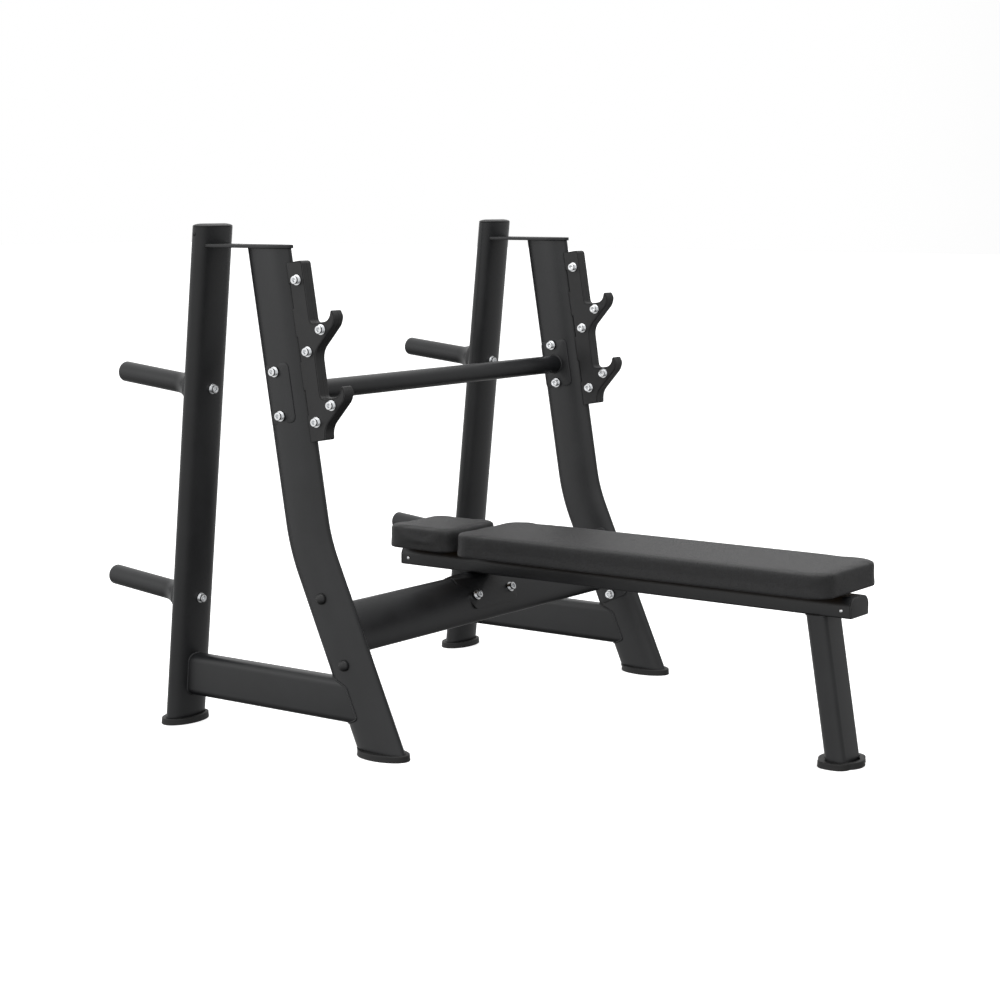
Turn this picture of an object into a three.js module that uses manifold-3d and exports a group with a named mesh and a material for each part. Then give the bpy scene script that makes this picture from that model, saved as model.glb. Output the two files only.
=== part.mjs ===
// Olympic flat bench press: two side frames joined by two crossbars, double bar hooks, four plate
// pegs, and a padded bench on one leg. Millimetres; +X runs along the bench to its foot end, +Y is
// the lifter's left, +Z is up and the floor is z = 0. X = 0 is the front foot until the last lines.
import * as THREE from 'three';
import { mergeVertices } from 'three/addons/utils/BufferGeometryUtils.js';
import Module from 'manifold-3d';

const wasm = await Module();
wasm.setup();

// ---------- driving dimensions ----------
const gap = 0.3;              // left between pieces that touch
const spare = 10;             // how far a cutting blank runs past what it cuts
const frameSpacing = 1100;    // between the mid-planes of the two side frames

// flat-oval frame tube, half sizes of its section
const tubeLong = 60.5;
const tubeShort = 26;
const tubeWall = 3;
const tubeSides = 24;

// rear upright, long side of its section across Y
const rearFootX = -611;
const rearLean = -5.75;       // degrees, negative leans towards +X
const rearTop = 1176;
const capRise = 8;
const capPlug = 22;

// front upright, long side of its section along X
const lowerLean = 24.1;
const upperLean = 9.533;
const bendHeight = 464.6;
const bendRadius = 420;
const bendSteps = 4;

// plate that ties the two upright tops
const tieTop = rearTop - 38;
const tieThickness = 8;
const tieRearWidth = 86;
const tieFrontWidth = 64;
const tieOverhang = 6;

// rubber feet
const footHeight = 15;
const footFloor = 3;
const footLong = 69.5;
const footShort = 41;
const footEdge = 2;

// low rail of each side frame
const railBottom = 69;
const railHeight = 100;
const railWidth = 50;
const railCorner = 18;
const railCope = 20;          // the rail's flanks stop this far behind the front upright's axis

// plate pegs on the rear uprights
const pegHeights = { upper: 805, lower: 307 };
const pegReach = 262;         // from the upright's axis to the tip
const pegRadius = 24;
const pegFlareRadius = 42;
const pegFlareStart = 73;     // from the upright's axis, where the flare begins
const pegTipRound = 10;
const pegBoltDepth = 34;
const pegSides = 18;

// bolts
const boltRadius = 6;
const boltHoleSlack = 0.4;
const washerRadius = 12;
const washerThickness = 2.5;
const capHead = { radius: 9, topRadius: 8.2, height: 9.6, edge: 0.8 };
const lowHead = { radius: 10.5, topRadius: 6.5, height: 6.6, edge: 5.6 };
const boltSides = 8;

// bar hooks, outlined in the upper upright's own frame: u ahead of its axis, v along it
const hookHeight = rearTop - 276;  // where v = 0 lies on the upright's axis
const hookHalf = 15.6;
const hookPitch = 169.7;
const hookSeat = 50;          // v of the upper hook's seat
const hookBack = 57.5;
const hookFront = 103;
const hookTop = 191;
const hookBottom = -213;
const hookCoreHalf = 4;
const hookCoreInset = 5;
const hookSlotDepth = 4;
const hookSlotLength = 58;
const hookSlots = [116, -4, -124];
const hookCorner = 2;
const hookEndRound = 9;
// one arm's corners from the back of its seat round the tip to below it: u, v from the seat, radius
const hookArm = [
  [103, -1.5, 11],
  [157, -3, 22],
  [168, 27, 4],
  [176.5, 4, 16],
  [168, -14, 30],
  [104.5, -66, 42],
];
const hookCoreArm = [[103, 0, 10], [165, 2, 3], [168, -14, 5], [103, -62, 30]];
const hookCoreEnd = 6;
const hookBolts = [[82, 149.4], [132.6, 31.5], [85.2, -12.2], [132.6, -138.2], [82, -170.4]];

// upper crossbar, round tube with a curved flange at each end
const upperBarHeight = hookHeight - 94;
const upperBarRadius = 23;
const upperBarOffset = -10.8;
const upperBoltSpread = 100.4;
const upperFlange = { length: 122, width: 88, thickness: 3, corner: 12 };
const backingPlate = { length: 136, width: 78, thickness: 2.2, corner: 12 };

// bench beam, a D-shaped tube
const beamHeadX = -352;
const beamFootX = 894;
const beamBottom = 336;
const beamHeight = 46;
const beamWidth = 84;
const beamTopRound = 23;
const beamBottomRound = 4;
const beamWall = 3;
const beamCapLip = 5;
const beamCapPlug = 35;
const bracketXs = [-250, 56, 459, 800];
const bracketLength = 40;
const bracketWidth = 90;
const bracketThickness = 6;

// lower crossbar and the saddle that carries the beam on it
const saddleThickness = 4;
const saddleTopHalf = 122;
const saddleBottomHalf = 84;
const saddleDrop = 31;        // how far the saddle reaches below the crossbar's centre line
const saddleBack = 9;
const saddleCorner = 16;
const saddleBoltSpread = 138;
const lowerBar = { long: 60, short: 26 };
const lowerFlange = { length: 190, width: 92, thickness: 5, corner: 14 };
const lowerBoltSpread = 159;

// leg at the foot end
const legFootX = 861.2;
const legLean = 9.54;
const legLength = 50;
const legWidth = 96;
const legCorner = 20;
const legFoot = { x: 857, length: 78, width: 126, corner: 28 };

// pads, each a board in the underside of an upholstered block
const padHeight = 56;
const padEdge = 4;
const boardThickness = 12;
const boardInset = 4;
const mainPad = { x0: -130, x1: 881, width: 278, corner: 50 };
const headPad = { x0: -350, x1: -152, width: 218, corner: 36 };

// ---------- materials ----------
const finishes = {
  powderCoat: new THREE.MeshStandardMaterial({ color: 0x17181a, roughness: 0.42, metalness: 0.0 }),
  chrome: new THREE.MeshStandardMaterial({ color: 0xc8cacd, roughness: 0.18, metalness: 1.0 }),
  rubber: new THREE.MeshStandardMaterial({ color: 0x121213, roughness: 0.75, metalness: 0.0 }),
  plastic: new THREE.MeshStandardMaterial({ color: 0x1a1b1c, roughness: 0.5, metalness: 0.0 }),
  urethane: new THREE.MeshStandardMaterial({ color: 0x161617, roughness: 0.6, metalness: 0.0 }),
  vinyl: new THREE.MeshStandardMaterial({ color: 0x1d1d1e, roughness: 0.55, metalness: 0.0 }),
  plywood: new THREE.MeshStandardMaterial({ color: 0xb08a5a, roughness: 0.8, metalness: 0.0 }),
};

// ---------- geometry helpers ----------
const radians = THREE.MathUtils.degToRad;
const xAxis = new THREE.Vector3(1, 0, 0);
const yAxis = new THREE.Vector3(0, 1, 0);
const zAxis = new THREE.Vector3(0, 0, 1);

// A closed three.js geometry as a solid that can be cut and joined.
function solid(geometry) {
  geometry.deleteAttribute('normal');
  geometry.deleteAttribute('uv');
  const merged = mergeVertices(geometry, 1e-3);
  const corners = merged.index.array;
  const kept = [];
  for (let i = 0; i < corners.length; i += 3) {
    const [a, b, c] = corners.slice(i, i + 3);
    if (a !== b && b !== c && c !== a) kept.push(a, b, c);
  }
  const vertProperties = new Float32Array(merged.attributes.position.array);
  const triVerts = new Uint32Array(kept);
  return new wasm.Manifold(new wasm.Mesh({ numProp: 3, vertProperties, triVerts }));
}

function geometryOf(body) {
  const mesh = body.getMesh();
  const geometry = new THREE.BufferGeometry();
  geometry.setAttribute('position', new THREE.Float32BufferAttribute(mesh.vertProperties, 3));
  geometry.setIndex(new THREE.Uint32BufferAttribute(mesh.triVerts, 1));
  geometry.computeVertexNormals();
  return geometry;
}

function ellipse(semiX, semiY, hole = 0) {
  const outline = new THREE.Shape();
  outline.absellipse(0, 0, semiX, semiY, 0, 2 * Math.PI, false);
  if (hole > 0) {
    const bore = new THREE.Path();
    bore.absellipse(0, 0, semiX - hole, semiY - hole, 0, 2 * Math.PI, true);
    outline.holes.push(bore);
  }
  return outline;
}

function roundedRect(path, width, height, corner) {
  const w = width / 2 - corner;
  const h = height / 2 - corner;
  path.moveTo(w, -h - corner);
  path.absarc(w, -h, corner, -Math.PI / 2, 0, false);
  path.absarc(w, h, corner, 0, Math.PI / 2, false);
  path.absarc(-w, h, corner, Math.PI / 2, Math.PI, false);
  path.absarc(-w, -h, corner, Math.PI, 1.5 * Math.PI, false);
  return path;
}

function rectangle(width, height, corner, wall = 0) {
  const outline = roundedRect(new THREE.Shape(), width, height, corner);
  if (wall > 0) {
    outline.holes.push(roundedRect(new THREE.Path(), width - 2 * wall, height - 2 * wall, corner - wall));
  }
  return outline;
}

// An outline given by its sharp corners [u, v, radius], each rounded by an arc tangent to both sides.
function filleted(corners) {
  const outline = new THREE.Shape();
  corners.forEach(([u, v, radius], i) => {
    const corner = new THREE.Vector2(u, v);
    const [bu, bv] = corners.at(i - 1);
    const [nu, nv] = corners[(i + 1) % corners.length];
    const before = new THREE.Vector2(bu, bv).sub(corner).normalize();
    const after = new THREE.Vector2(nu, nv).sub(corner).normalize();
    const half = Math.acos(before.dot(after)) / 2;
    const reach = radius / Math.tan(half);
    const middle = before.clone().add(after).normalize();
    const centre = corner.clone().addScaledVector(middle, radius / Math.sin(half));
    const from = corner.clone().addScaledVector(before, reach).sub(centre).angle();
    const to = corner.clone().addScaledVector(after, reach).sub(centre).angle();
    outline.absarc(centre.x, centre.y, radius, from, to, before.cross(after) > 0);
  });
  return outline;
}

function extrude(shape, depth, curveSegments = 2) {
  return new THREE.ExtrudeGeometry(shape, { depth, curveSegments, bevelEnabled: false });
}

// The same outline lifted to a full height with its top and bottom edges rounded inwards.
function softExtrude(shape, height, edge, bevelSegments, curveSegments = 2) {
  const depth = height - 2 * edge;
  const bevel = { bevelThickness: edge, bevelSize: edge, bevelOffset: -edge, bevelSegments };
  return new THREE.ExtrudeGeometry(shape, { depth, curveSegments, ...bevel }).translate(0, 0, edge);
}

// A frame has an origin in the XZ plane and a lean: u points ahead of the leaning axis, v up it.
function axesOf(lean) {
  const angle = radians(lean);
  const u = new THREE.Vector3(Math.cos(angle), 0, Math.sin(angle));
  const v = new THREE.Vector3(-Math.sin(angle), 0, Math.cos(angle));
  return { u, v };
}

function put(geometry, basis, frame, y = 0) {
  geometry.applyMatrix4(new THREE.Matrix4().makeBasis(...basis));
  return geometry.translate(frame.x, y, frame.z);
}

// A plate outlined in (u, v) that fills y0 to y1.
function slab(shape, frame, y0, y1, curveSegments) {
  const { u, v } = axesOf(frame.lean);
  const plate = extrude(shape, y1 - y0, curveSegments).translate(0, 0, -y1);
  return solid(put(plate, [u, v, yAxis.clone().negate()], frame));
}

// A bar whose section lies in (u, Y) and which runs along v from v0 to v1.
function stick(shape, frame, y, v0, v1, curveSegments = tubeSides / 2) {
  const { u, v } = axesOf(frame.lean);
  const bar = extrude(shape, v1 - v0, curveSegments).translate(0, 0, v0);
  return solid(put(bar, [u, yAxis, v], frame, y));
}

// An outline in (X, Y) lifted from z0 to z1.
function raised(shape, x, y, z0, z1, curveSegments = 2) {
  return solid(extrude(shape, z1 - z0, curveSegments).translate(x, y, z0));
}

// A section in (Y, Z) run along X from x0 to x1.
function lengthwise(shape, x0, x1, y, z, curveSegments = 2) {
  const bar = extrude(shape, x1 - x0, curveSegments).translate(0, 0, x0);
  bar.applyMatrix4(new THREE.Matrix4().makeBasis(yAxis, zAxis, xAxis));
  return solid(bar.translate(0, y, z));
}

// A section carried through stations on a leaning axis. At each station the cutting plane is tilted
// by cut, and the section is stretched to keep the tube's true width across its axis.
function sweep(shape, stations, y, curveSegments = tubeSides / 2) {
  const steps = stations.length - 1;
  const options = { steps, depth: steps, curveSegments, bevelEnabled: false };
  const bar = new THREE.ExtrudeGeometry(shape, options);
  const places = bar.attributes.position;
  for (let i = 0; i < places.count; i += 1) {
    const station = stations[Math.round(places.getZ(i))];
    const along = places.getX(i) / Math.cos(radians(station.lean - station.cut));
    const x = station.x + along * Math.cos(radians(station.cut));
    const z = station.z + along * Math.sin(radians(station.cut));
    places.setXYZ(i, x, places.getY(i) + y, z);
  }
  return solid(bar);
}

function lathe(profile, segments) {
  return new THREE.LatheGeometry(profile.map(([r, h]) => new THREE.Vector2(r, h)), segments);
}

// ---------- axes of the side frame ----------
function rearX(z) {
  return rearFootX - z * Math.tan(radians(rearLean));
}

const bendX = -bendHeight * Math.tan(radians(lowerLean));

function frontX(z) {
  if (z < bendHeight) return -z * Math.tan(radians(lowerLean));
  return bendX - (z - bendHeight) * Math.tan(radians(upperLean));
}

function rearFrame(z) {
  return { x: rearX(z), z, lean: rearLean };
}

function frontFrame(z) {
  return { x: frontX(z), z, lean: z < bendHeight ? lowerLean : upperLean };
}

const tubeBottom = footFloor + gap;
const tieBottom = tieTop - tieThickness;
const hookFrame = frontFrame(hookHeight);
const upperBarFrame = frontFrame(upperBarHeight);
const rearSection = (offset, wall = 0) => ellipse(tubeShort + offset, tubeLong + offset, wall);
const frontSection = (offset, wall = 0) => ellipse(tubeLong + offset, tubeShort + offset, wall);

function rearStations(bottom, top) {
  return [bottom, top].map((z) => ({ ...rearFrame(z), cut: 0 }));
}

// Straight, arc, straight: the arc touches both straights and ends half the bend away on each.
function frontStations(bottom, top) {
  const turn = radians(lowerLean - upperLean);
  const reach = bendRadius * Math.tan(turn / 2);
  const start = radians(lowerLean);
  const startX = bendX + reach * Math.sin(start);
  const startZ = bendHeight - reach * Math.cos(start);
  const stations = [{ ...frontFrame(bottom), cut: 0 }];
  for (let i = 0; i <= bendSteps; i += 1) {
    const lean = start - (turn * i) / bendSteps;
    const x = startX + bendRadius * (Math.cos(start) - Math.cos(lean));
    const z = startZ + bendRadius * (Math.sin(start) - Math.sin(lean));
    const degrees = THREE.MathUtils.radToDeg(lean);
    stations.push({ x, z, lean: degrees, cut: degrees });
  }
  stations.push({ ...frontFrame(top), cut: 0 });
  return stations;
}

// Solid blanks of the uprights, a gap larger all round, that neighbours are cut back to.
function rearBlank(side) {
  return sweep(rearSection(gap), rearStations(-spare, rearTop + spare), side * frameSpacing / 2);
}

function frontBlank(side) {
  return sweep(frontSection(gap), frontStations(-1, tieTop), side * frameSpacing / 2);
}

// ---------- fasteners ----------
// A head with its washer, from the seat upwards, as half a profile.
function headProfile(seat, head = capHead) {
  const base = seat + washerThickness;
  const top = base + head.height;
  return [
    [washerRadius, seat],
    [washerRadius, base],
    [head.radius, base],
    [head.radius, top - head.edge],
    [head.topRadius, top],
    [0, top],
  ];
}

// A through bolt along Y, a head on each side of its grip; the covered side, if any, has a low head.
function throughBolt(grip, frame, u, v, y, coveredSide = 0) {
  const half = (side) => {
    const head = headProfile(grip / 2, side === coveredSide ? lowHead : capHead);
    return [[boltRadius, grip / 2], ...head].map(([r, h]) => [r, side * h]);
  };
  const lower = half(-1).reverse();
  const upper = half(1);
  const axes = axesOf(frame.lean);
  const at = axes.u.multiplyScalar(u).addScaledVector(axes.v, v);
  return lathe([...lower, ...upper], boltSides).translate(frame.x + at.x, y, frame.z + at.z);
}

// A bolt along u with one head, its seat at the given u and its end depth further in.
function faceBolt(seat, depth, frame, y) {
  const profile = [[0, -depth], [boltRadius, -depth], [boltRadius, 0], ...headProfile(0)];
  const { u, v } = axesOf(frame.lean);
  const bolt = lathe(profile, boltSides).rotateZ(-Math.PI / 2).translate(seat, 0, 0);
  return put(bolt, [u, yAxis, v], frame, y);
}

// A clearance hole along Y through a frame at (u, v), between y0 and y1.
function crossHole(frame, u, v, y0, y1) {
  const radius = boltRadius + boltHoleSlack;
  const drill = new THREE.CylinderGeometry(radius, radius, y1 - y0, boltSides);
  const axes = axesOf(frame.lean);
  const at = axes.u.multiplyScalar(u).addScaledVector(axes.v, v);
  return solid(drill.translate(frame.x + at.x, (y0 + y1) / 2, frame.z + at.z));
}

// A clearance hole along u, from u0 to u1.
function faceHole(frame, y, u0, u1) {
  const radius = boltRadius + boltHoleSlack;
  const drill = new THREE.CylinderGeometry(radius, radius, u1 - u0, boltSides);
  const { u, v } = axesOf(frame.lean);
  drill.rotateZ(-Math.PI / 2).translate((u0 + u1) / 2, 0, 0);
  return solid(put(drill, [u, yAxis, v], frame, y));
}

function drilled(body, holes) {
  return holes.reduce((left, hole) => left.subtract(hole), body);
}

// ---------- crossbars ----------
// The saddle fills the room between the lower crossbar and the beam, so the beam sets its height.
const saddleReach = gap + saddleThickness;
const saddleRise = Math.hypot(
  (lowerBar.long + saddleReach) * Math.cos(radians(lowerLean)),
  (lowerBar.short + saddleReach) * Math.sin(radians(lowerLean)),
);
const lowerBarFrame = frontFrame(beamBottom - gap - saddleRise);
const upperBolts = [-1, 1].map((end) => [upperBarOffset, (end * upperBoltSpread) / 2]);
const lowerBolts = [-1, 1].map((end) => [0, (end * lowerBoltSpread) / 2]);

function shifted(frame, along) {
  const { u } = axesOf(frame.lean);
  return { ...frame, x: frame.x + along * u.x, z: frame.z + along * u.z };
}

// A plate bent round the flank of a front upright that faces away from or towards the bench. Its
// back lies lift outside the tube, and its outline is centred offset ahead of the tube's axis.
function flankPlate(side, inward, frame, offset, plate, lift) {
  const middle = (side * frameSpacing) / 2;
  const reach = (inward ? -side : side) * (tubeShort + lift + plate.thickness + 1);
  const [y0, y1] = [middle, middle + reach].sort((a, b) => a - b);
  const block = slab(rectangle(plate.width, plate.length, plate.corner), shifted(frame, offset), y0, y1);
  const end = plate.length;
  const outer = stick(frontSection(lift + plate.thickness), frame, middle, -end, end);
  const inner = stick(frontSection(lift), frame, middle, -end - 1, end + 1);
  return block.intersect(outer).subtract(inner);
}

// A bar between the side frames with a curved flange welded to each end, its bore open at the ends.
function crossbar(section, frame, offset, flange, bolts) {
  const half = frameSpacing / 2;
  const middle = shifted(frame, offset);
  let body = slab(section(0), middle, -half, half, tubeSides / 3);
  for (const side of [-1, 1]) {
    body = body.subtract(stick(frontSection(gap), frame, side * half, -flange.length, flange.length));
    body = body.add(flankPlate(side, true, frame, offset, flange, gap));
  }
  body = body.subtract(slab(section(tubeWall), middle, -half, half, tubeSides / 3));
  return drilled(body, bolts.map(([u, v]) => crossHole(frame, u, v, -half, half)));
}

function upperCrossbar() {
  const section = (wall) => ellipse(upperBarRadius - wall, upperBarRadius - wall);
  return crossbar(section, upperBarFrame, upperBarOffset, upperFlange, upperBolts);
}

function lowerCrossbar() {
  const section = (wall) => ellipse(lowerBar.short - wall, lowerBar.long - wall);
  const body = crossbar(section, lowerBarFrame, 0, lowerFlange, lowerBolts);
  return drilled(body, saddleHoles());
}

// Bolts on both flanks of an upright: the grip reaches over the plates that lie on the tube there.
function flankBolt(side, frame, [u, v], outside, inside, coveredSide = 0) {
  const outer = tubeShort + outside + gap;
  const inner = tubeShort + inside + gap;
  const y = side * (frameSpacing / 2 + (outer - inner) / 2);
  return throughBolt(outer + inner, frame, u, v, y, coveredSide);
}

// ---------- side frames ----------
function rearUpright(side) {
  const y = (side * frameSpacing) / 2;
  const tube = sweep(rearSection(0, tubeWall), rearStations(tubeBottom, rearTop), y);
  const holes = Object.values(pegHeights).map((z) => faceHole(rearFrame(z), y, -tubeLong, tubeLong));
  return drilled(tube, holes);
}

function frontUpright(side) {
  const y = (side * frameSpacing) / 2;
  const tube = sweep(frontSection(0, tubeWall), frontStations(tubeBottom, tieBottom - gap), y);
  const plate = flankPlate(side, false, upperBarFrame, upperBarOffset, backingPlate, -1);
  const reach = tubeShort + spare;
  const holes = [
    ...upperBolts.map(([u, v]) => crossHole(upperBarFrame, u, v, y - reach, y + reach)),
    ...lowerBolts.map(([u, v]) => crossHole(lowerBarFrame, u, v, y - reach, y + reach)),
  ];
  return drilled(tube.add(plate), holes);
}

// A domed plastic plug that closes the top of a rear upright.
function rearCap(side) {
  const y = (side * frameSpacing) / 2;
  const top = rearFrame(rearTop);
  const lip = ellipse(tubeShort / Math.cos(radians(rearLean)), tubeLong);
  const edge = capRise - gap - 2;
  const options = { depth: 2, curveSegments: tubeSides / 2, bevelThickness: edge, bevelSize: edge };
  const dome = new THREE.ExtrudeGeometry(lip, { ...options, bevelOffset: -edge, bevelSegments: 2 });
  const flat = raised(rectangle(4 * tubeLong, 4 * tubeLong, 1), top.x, y, rearTop - 2 * capPlug, rearTop + gap);
  const cap = solid(dome.translate(top.x, y, rearTop + gap)).subtract(flat);
  const plug = sweep(rearSection(-tubeWall - gap), rearStations(rearTop - capPlug, rearTop + 2), y);
  return cap.add(plug);
}

// The plate that ties the tops: coped to the rear upright, rounded over the front one.
function tiePlate(side) {
  const rear = rearX(tieBottom);
  const front = frontX(tieBottom);
  const nose = tubeLong / Math.cos(radians(upperLean)) + tieOverhang;
  const outline = new THREE.Shape();
  outline.moveTo(rear, -tieRearWidth / 2);
  outline.absellipse(front, 0, nose, tieFrontWidth / 2, -Math.PI / 2, Math.PI / 2, false);
  outline.lineTo(rear, tieRearWidth / 2);
  const plate = raised(outline, 0, (side * frameSpacing) / 2, tieBottom, tieTop, 6);
  return plate.subtract(rearBlank(side));
}

function sideRail(side) {
  const y = (side * frameSpacing) / 2;
  const z = railBottom + railHeight / 2;
  const tube = rectangle(railWidth, railHeight, railCorner, tubeWall);
  const rail = lengthwise(tube, rearX(z), frontX(z), y, z);
  const behind = shifted(frontFrame(z), 2 * tubeLong - railCope);
  const ahead = slab(rectangle(4 * tubeLong, 4 * railHeight, 1), behind, y - railWidth, y + railWidth);
  return rail.subtract(rearBlank(side)).subtract(frontBlank(side)).subtract(ahead);
}

// A rubber foot: a flat block with a pocket that the leaning tube stands in.
function foot(outline, x, y, blank, curveSegments) {
  const block = solid(softExtrude(outline, footHeight, footEdge, 1, curveSegments).translate(x, y, 0));
  const floor = raised(rectangle(4 * footLong, 4 * footLong, 1), x, y, -2 * spare, footFloor);
  return block.subtract(blank.subtract(floor));
}

function rearFoot(side) {
  const outline = ellipse(footShort, footLong);
  return foot(outline, rearFootX, (side * frameSpacing) / 2, rearBlank(side), tubeSides / 2);
}

function frontFoot(side) {
  const outline = ellipse(footLong, footShort);
  return foot(outline, 0, (side * frameSpacing) / 2, frontBlank(side), tubeSides / 2);
}

// A plate peg square to the rear upright, flared where it meets the tube and rounded at its tip.
function weightPeg(side, z) {
  const y = (side * frameSpacing) / 2;
  const round = (angle) => [
    pegRadius - pegTipRound * (1 - Math.cos(angle)),
    pegReach - pegTipRound * (1 - Math.sin(angle)),
  ];
  const flareDepth = pegFlareRadius - pegRadius;
  const profile = [
    [0, 5],
    [pegFlareRadius, 5],
    [pegFlareRadius, pegFlareStart - 1.35 * flareDepth],
    [pegFlareRadius - 0.2 * flareDepth, pegFlareStart - 0.95 * flareDepth],
    [pegRadius, pegFlareStart],
    ...[0, 0.5, 1].map((part) => round((part * Math.PI) / 2)),
    [0, pegReach],
  ];
  const { u, v } = axesOf(rearLean);
  const peg = solid(put(lathe(profile, pegSides).rotateZ(Math.PI / 2), [u, yAxis, v], rearFrame(z), y));
  const hole = faceHole(rearFrame(z), y, -tubeShort - pegBoltDepth - 4, 0);
  return peg.subtract(rearBlank(side)).subtract(hole);
}

function pegBolt(side, z) {
  const depth = 2 * tubeShort + gap + pegBoltDepth;
  return solid(faceBolt(tubeShort + gap, depth, rearFrame(z), (side * frameSpacing) / 2));
}

// ---------- bar hooks ----------
function coverArm(seat) {
  return hookArm.map(([u, v, radius]) => [u, seat + v, radius]);
}

function coverOutline() {
  return filleted([
    [hookBack, hookBottom, hookCorner],
    [hookFront - hookCorner, hookBottom, 2 * hookCorner],
    ...coverArm(hookSeat - hookPitch).reverse(),
    ...coverArm(hookSeat).reverse(),
    [hookFront, hookTop, hookEndRound],
    [hookBack, hookTop, hookCorner],
  ]);
}

// The steel plate inside the covers follows their outline a little way in.
function coreArm(seat, inset) {
  return hookCoreArm.map(([u, v, radius]) => [u - inset, seat + v + (v < 0 ? inset : -inset), radius]);
}

function coreOutline(inset) {
  return filleted([
    [tubeLong / 2, hookBottom + inset, 1],
    [hookFront - inset, hookBottom + inset, hookCoreEnd],
    ...coreArm(hookSeat - hookPitch, inset).reverse(),
    ...coreArm(hookSeat, inset).reverse(),
    [hookFront - inset, hookTop - inset, hookCoreEnd],
    [tubeLong / 2, hookTop - inset, 1],
  ]);
}

function hookHoles(y) {
  return hookBolts.map(([u, v]) => crossHole(hookFrame, u, v, y - 2 * hookHalf, y + 2 * hookHalf));
}

function hookPlate(side) {
  const y = (side * frameSpacing) / 2;
  const plate = slab(coreOutline(hookCoreInset), hookFrame, y - hookCoreHalf, y + hookCoreHalf);
  return drilled(plate.subtract(frontBlank(side)), hookHoles(y));
}

// Half of the cover, on the outer or inner side of the plate, with slots along its back edge.
function hookCover(side, direction) {
  const y = (side * frameSpacing) / 2;
  const [y0, y1] = [gap / 2, hookHalf].map((out) => y + direction * out).sort((a, b) => a - b);
  const half = hookCoreHalf + gap;
  let cover = slab(coverOutline(), hookFrame, y0, y1);
  cover = cover.subtract(slab(coreOutline(hookCoreInset - gap), hookFrame, y - half, y + half));
  cover = cover.subtract(frontBlank(side));
  for (const v of hookSlots) {
    const slot = new THREE.BoxGeometry(2 * hookSlotDepth, 3 * hookHalf, hookSlotLength);
    const { u, v: up } = axesOf(hookFrame.lean);
    slot.translate(hookBack, 0, v);
    cover = cover.subtract(solid(put(slot, [u, yAxis, up], hookFrame, y)));
  }
  return drilled(cover, hookHoles(y));
}

function hookBolt(side, [u, v]) {
  return solid(throughBolt(2 * (hookHalf + gap), hookFrame, u, v, (side * frameSpacing) / 2));
}

// ---------- bench ----------
const beamTop = beamBottom + beamHeight;
const padBottom = beamTop + bracketThickness + gap;

// The D section: flat below, well rounded above.
function beamSection(inset) {
  const half = beamWidth / 2 - inset;
  const top = beamHeight - inset;
  const low = Math.max(beamBottomRound - inset, 0.5);
  const high = beamTopRound - inset;
  return filleted([[half, inset, low], [half, top, high], [-half, top, high], [-half, inset, low]]);
}

function benchBeam() {
  const x0 = beamHeadX + beamCapLip + gap;
  const x1 = beamFootX - beamCapLip - gap;
  let beam = lengthwise(beamSection(0), x0, x1, 0, beamBottom, 3);
  for (const x of bracketXs) {
    const plate = rectangle(bracketLength, bracketWidth, 4);
    beam = beam.add(raised(plate, x, 0, beamTop - 1, beamTop + bracketThickness));
  }
  return beam.subtract(lengthwise(beamSection(beamWall), x0 - 1, x1 + 1, 0, beamBottom, 3));
}

function beamCap(end) {
  const outer = end < 0 ? beamHeadX : beamFootX;
  const lipEnd = outer - end * beamCapLip;
  const plugEnd = lipEnd - end * beamCapPlug;
  const [x0, x1] = [outer, lipEnd].sort((a, b) => a - b);
  const [x2, x3] = [lipEnd + end, plugEnd].sort((a, b) => a - b);
  const lip = lengthwise(beamSection(0), x0, x1, 0, beamBottom, 3);
  return lip.add(lengthwise(beamSection(beamWall + gap), x2, x3, 0, beamBottom, 3));
}

function legStations(bottom, top) {
  const slope = Math.tan(radians(legLean));
  return [bottom, top].map((z) => ({ x: legFootX - z * slope, z, lean: legLean, cut: 0 }));
}

function leg() {
  const section = rectangle(legLength, legWidth, legCorner, tubeWall);
  return sweep(section, legStations(tubeBottom, beamBottom - gap), 0, 3);
}

function legFootBlock() {
  const section = rectangle(legLength + 2 * gap, legWidth + 2 * gap, legCorner + gap);
  const blank = sweep(section, legStations(-spare, footHeight + spare), 0, 3);
  return foot(rectangle(legFoot.length, legFoot.width, legFoot.corner), legFoot.x, 0, blank, 3);
}

function saddleHoles() {
  return [-1, 1].map((side) => faceHole(lowerBarFrame, (side * saddleBoltSpread) / 2, 0, 2 * lowerBar.long));
}

// A plate wrapped over the top and front of the lower crossbar, narrower at its lower edge.
function saddleBracket() {
  const { u, v } = axesOf(lowerBarFrame.lean);
  const around = (offset) => ellipse(lowerBar.short + offset, lowerBar.long + offset);
  const shell = slab(around(saddleReach), lowerBarFrame, -saddleTopHalf - 1, saddleTopHalf + 1, tubeSides / 3)
    .subtract(slab(around(gap), lowerBarFrame, -saddleTopHalf - 2, saddleTopHalf + 2, tubeSides / 3));
  const outline = filleted([
    [saddleBottomHalf, -saddleDrop, saddleCorner],
    [saddleTopHalf, 2 * lowerBar.short, 4],
    [saddleTopHalf, 2 * lowerBar.long, 1],
    [-saddleTopHalf, 2 * lowerBar.long, 1],
    [-saddleTopHalf, 2 * lowerBar.short, 4],
    [-saddleBottomHalf, -saddleDrop, saddleCorner],
  ]);
  const window = extrude(outline, saddleBack + 2 * lowerBar.short, 3).translate(0, 0, -saddleBack);
  const plate = shell.intersect(solid(put(window, [yAxis, v, u], lowerBarFrame)));
  const under = raised(rectangle(4 * saddleTopHalf, 4 * saddleTopHalf, 1), lowerBarFrame.x, 0, beamBottom - gap, beamTop);
  return drilled(plate.subtract(under), saddleHoles());
}

function saddleBolt(side) {
  const seat = lowerBar.short + saddleReach + gap;
  const depth = saddleReach + gap + 2 * tubeWall;
  return solid(faceBolt(seat, depth, lowerBarFrame, (side * saddleBoltSpread) / 2));
}

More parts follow.
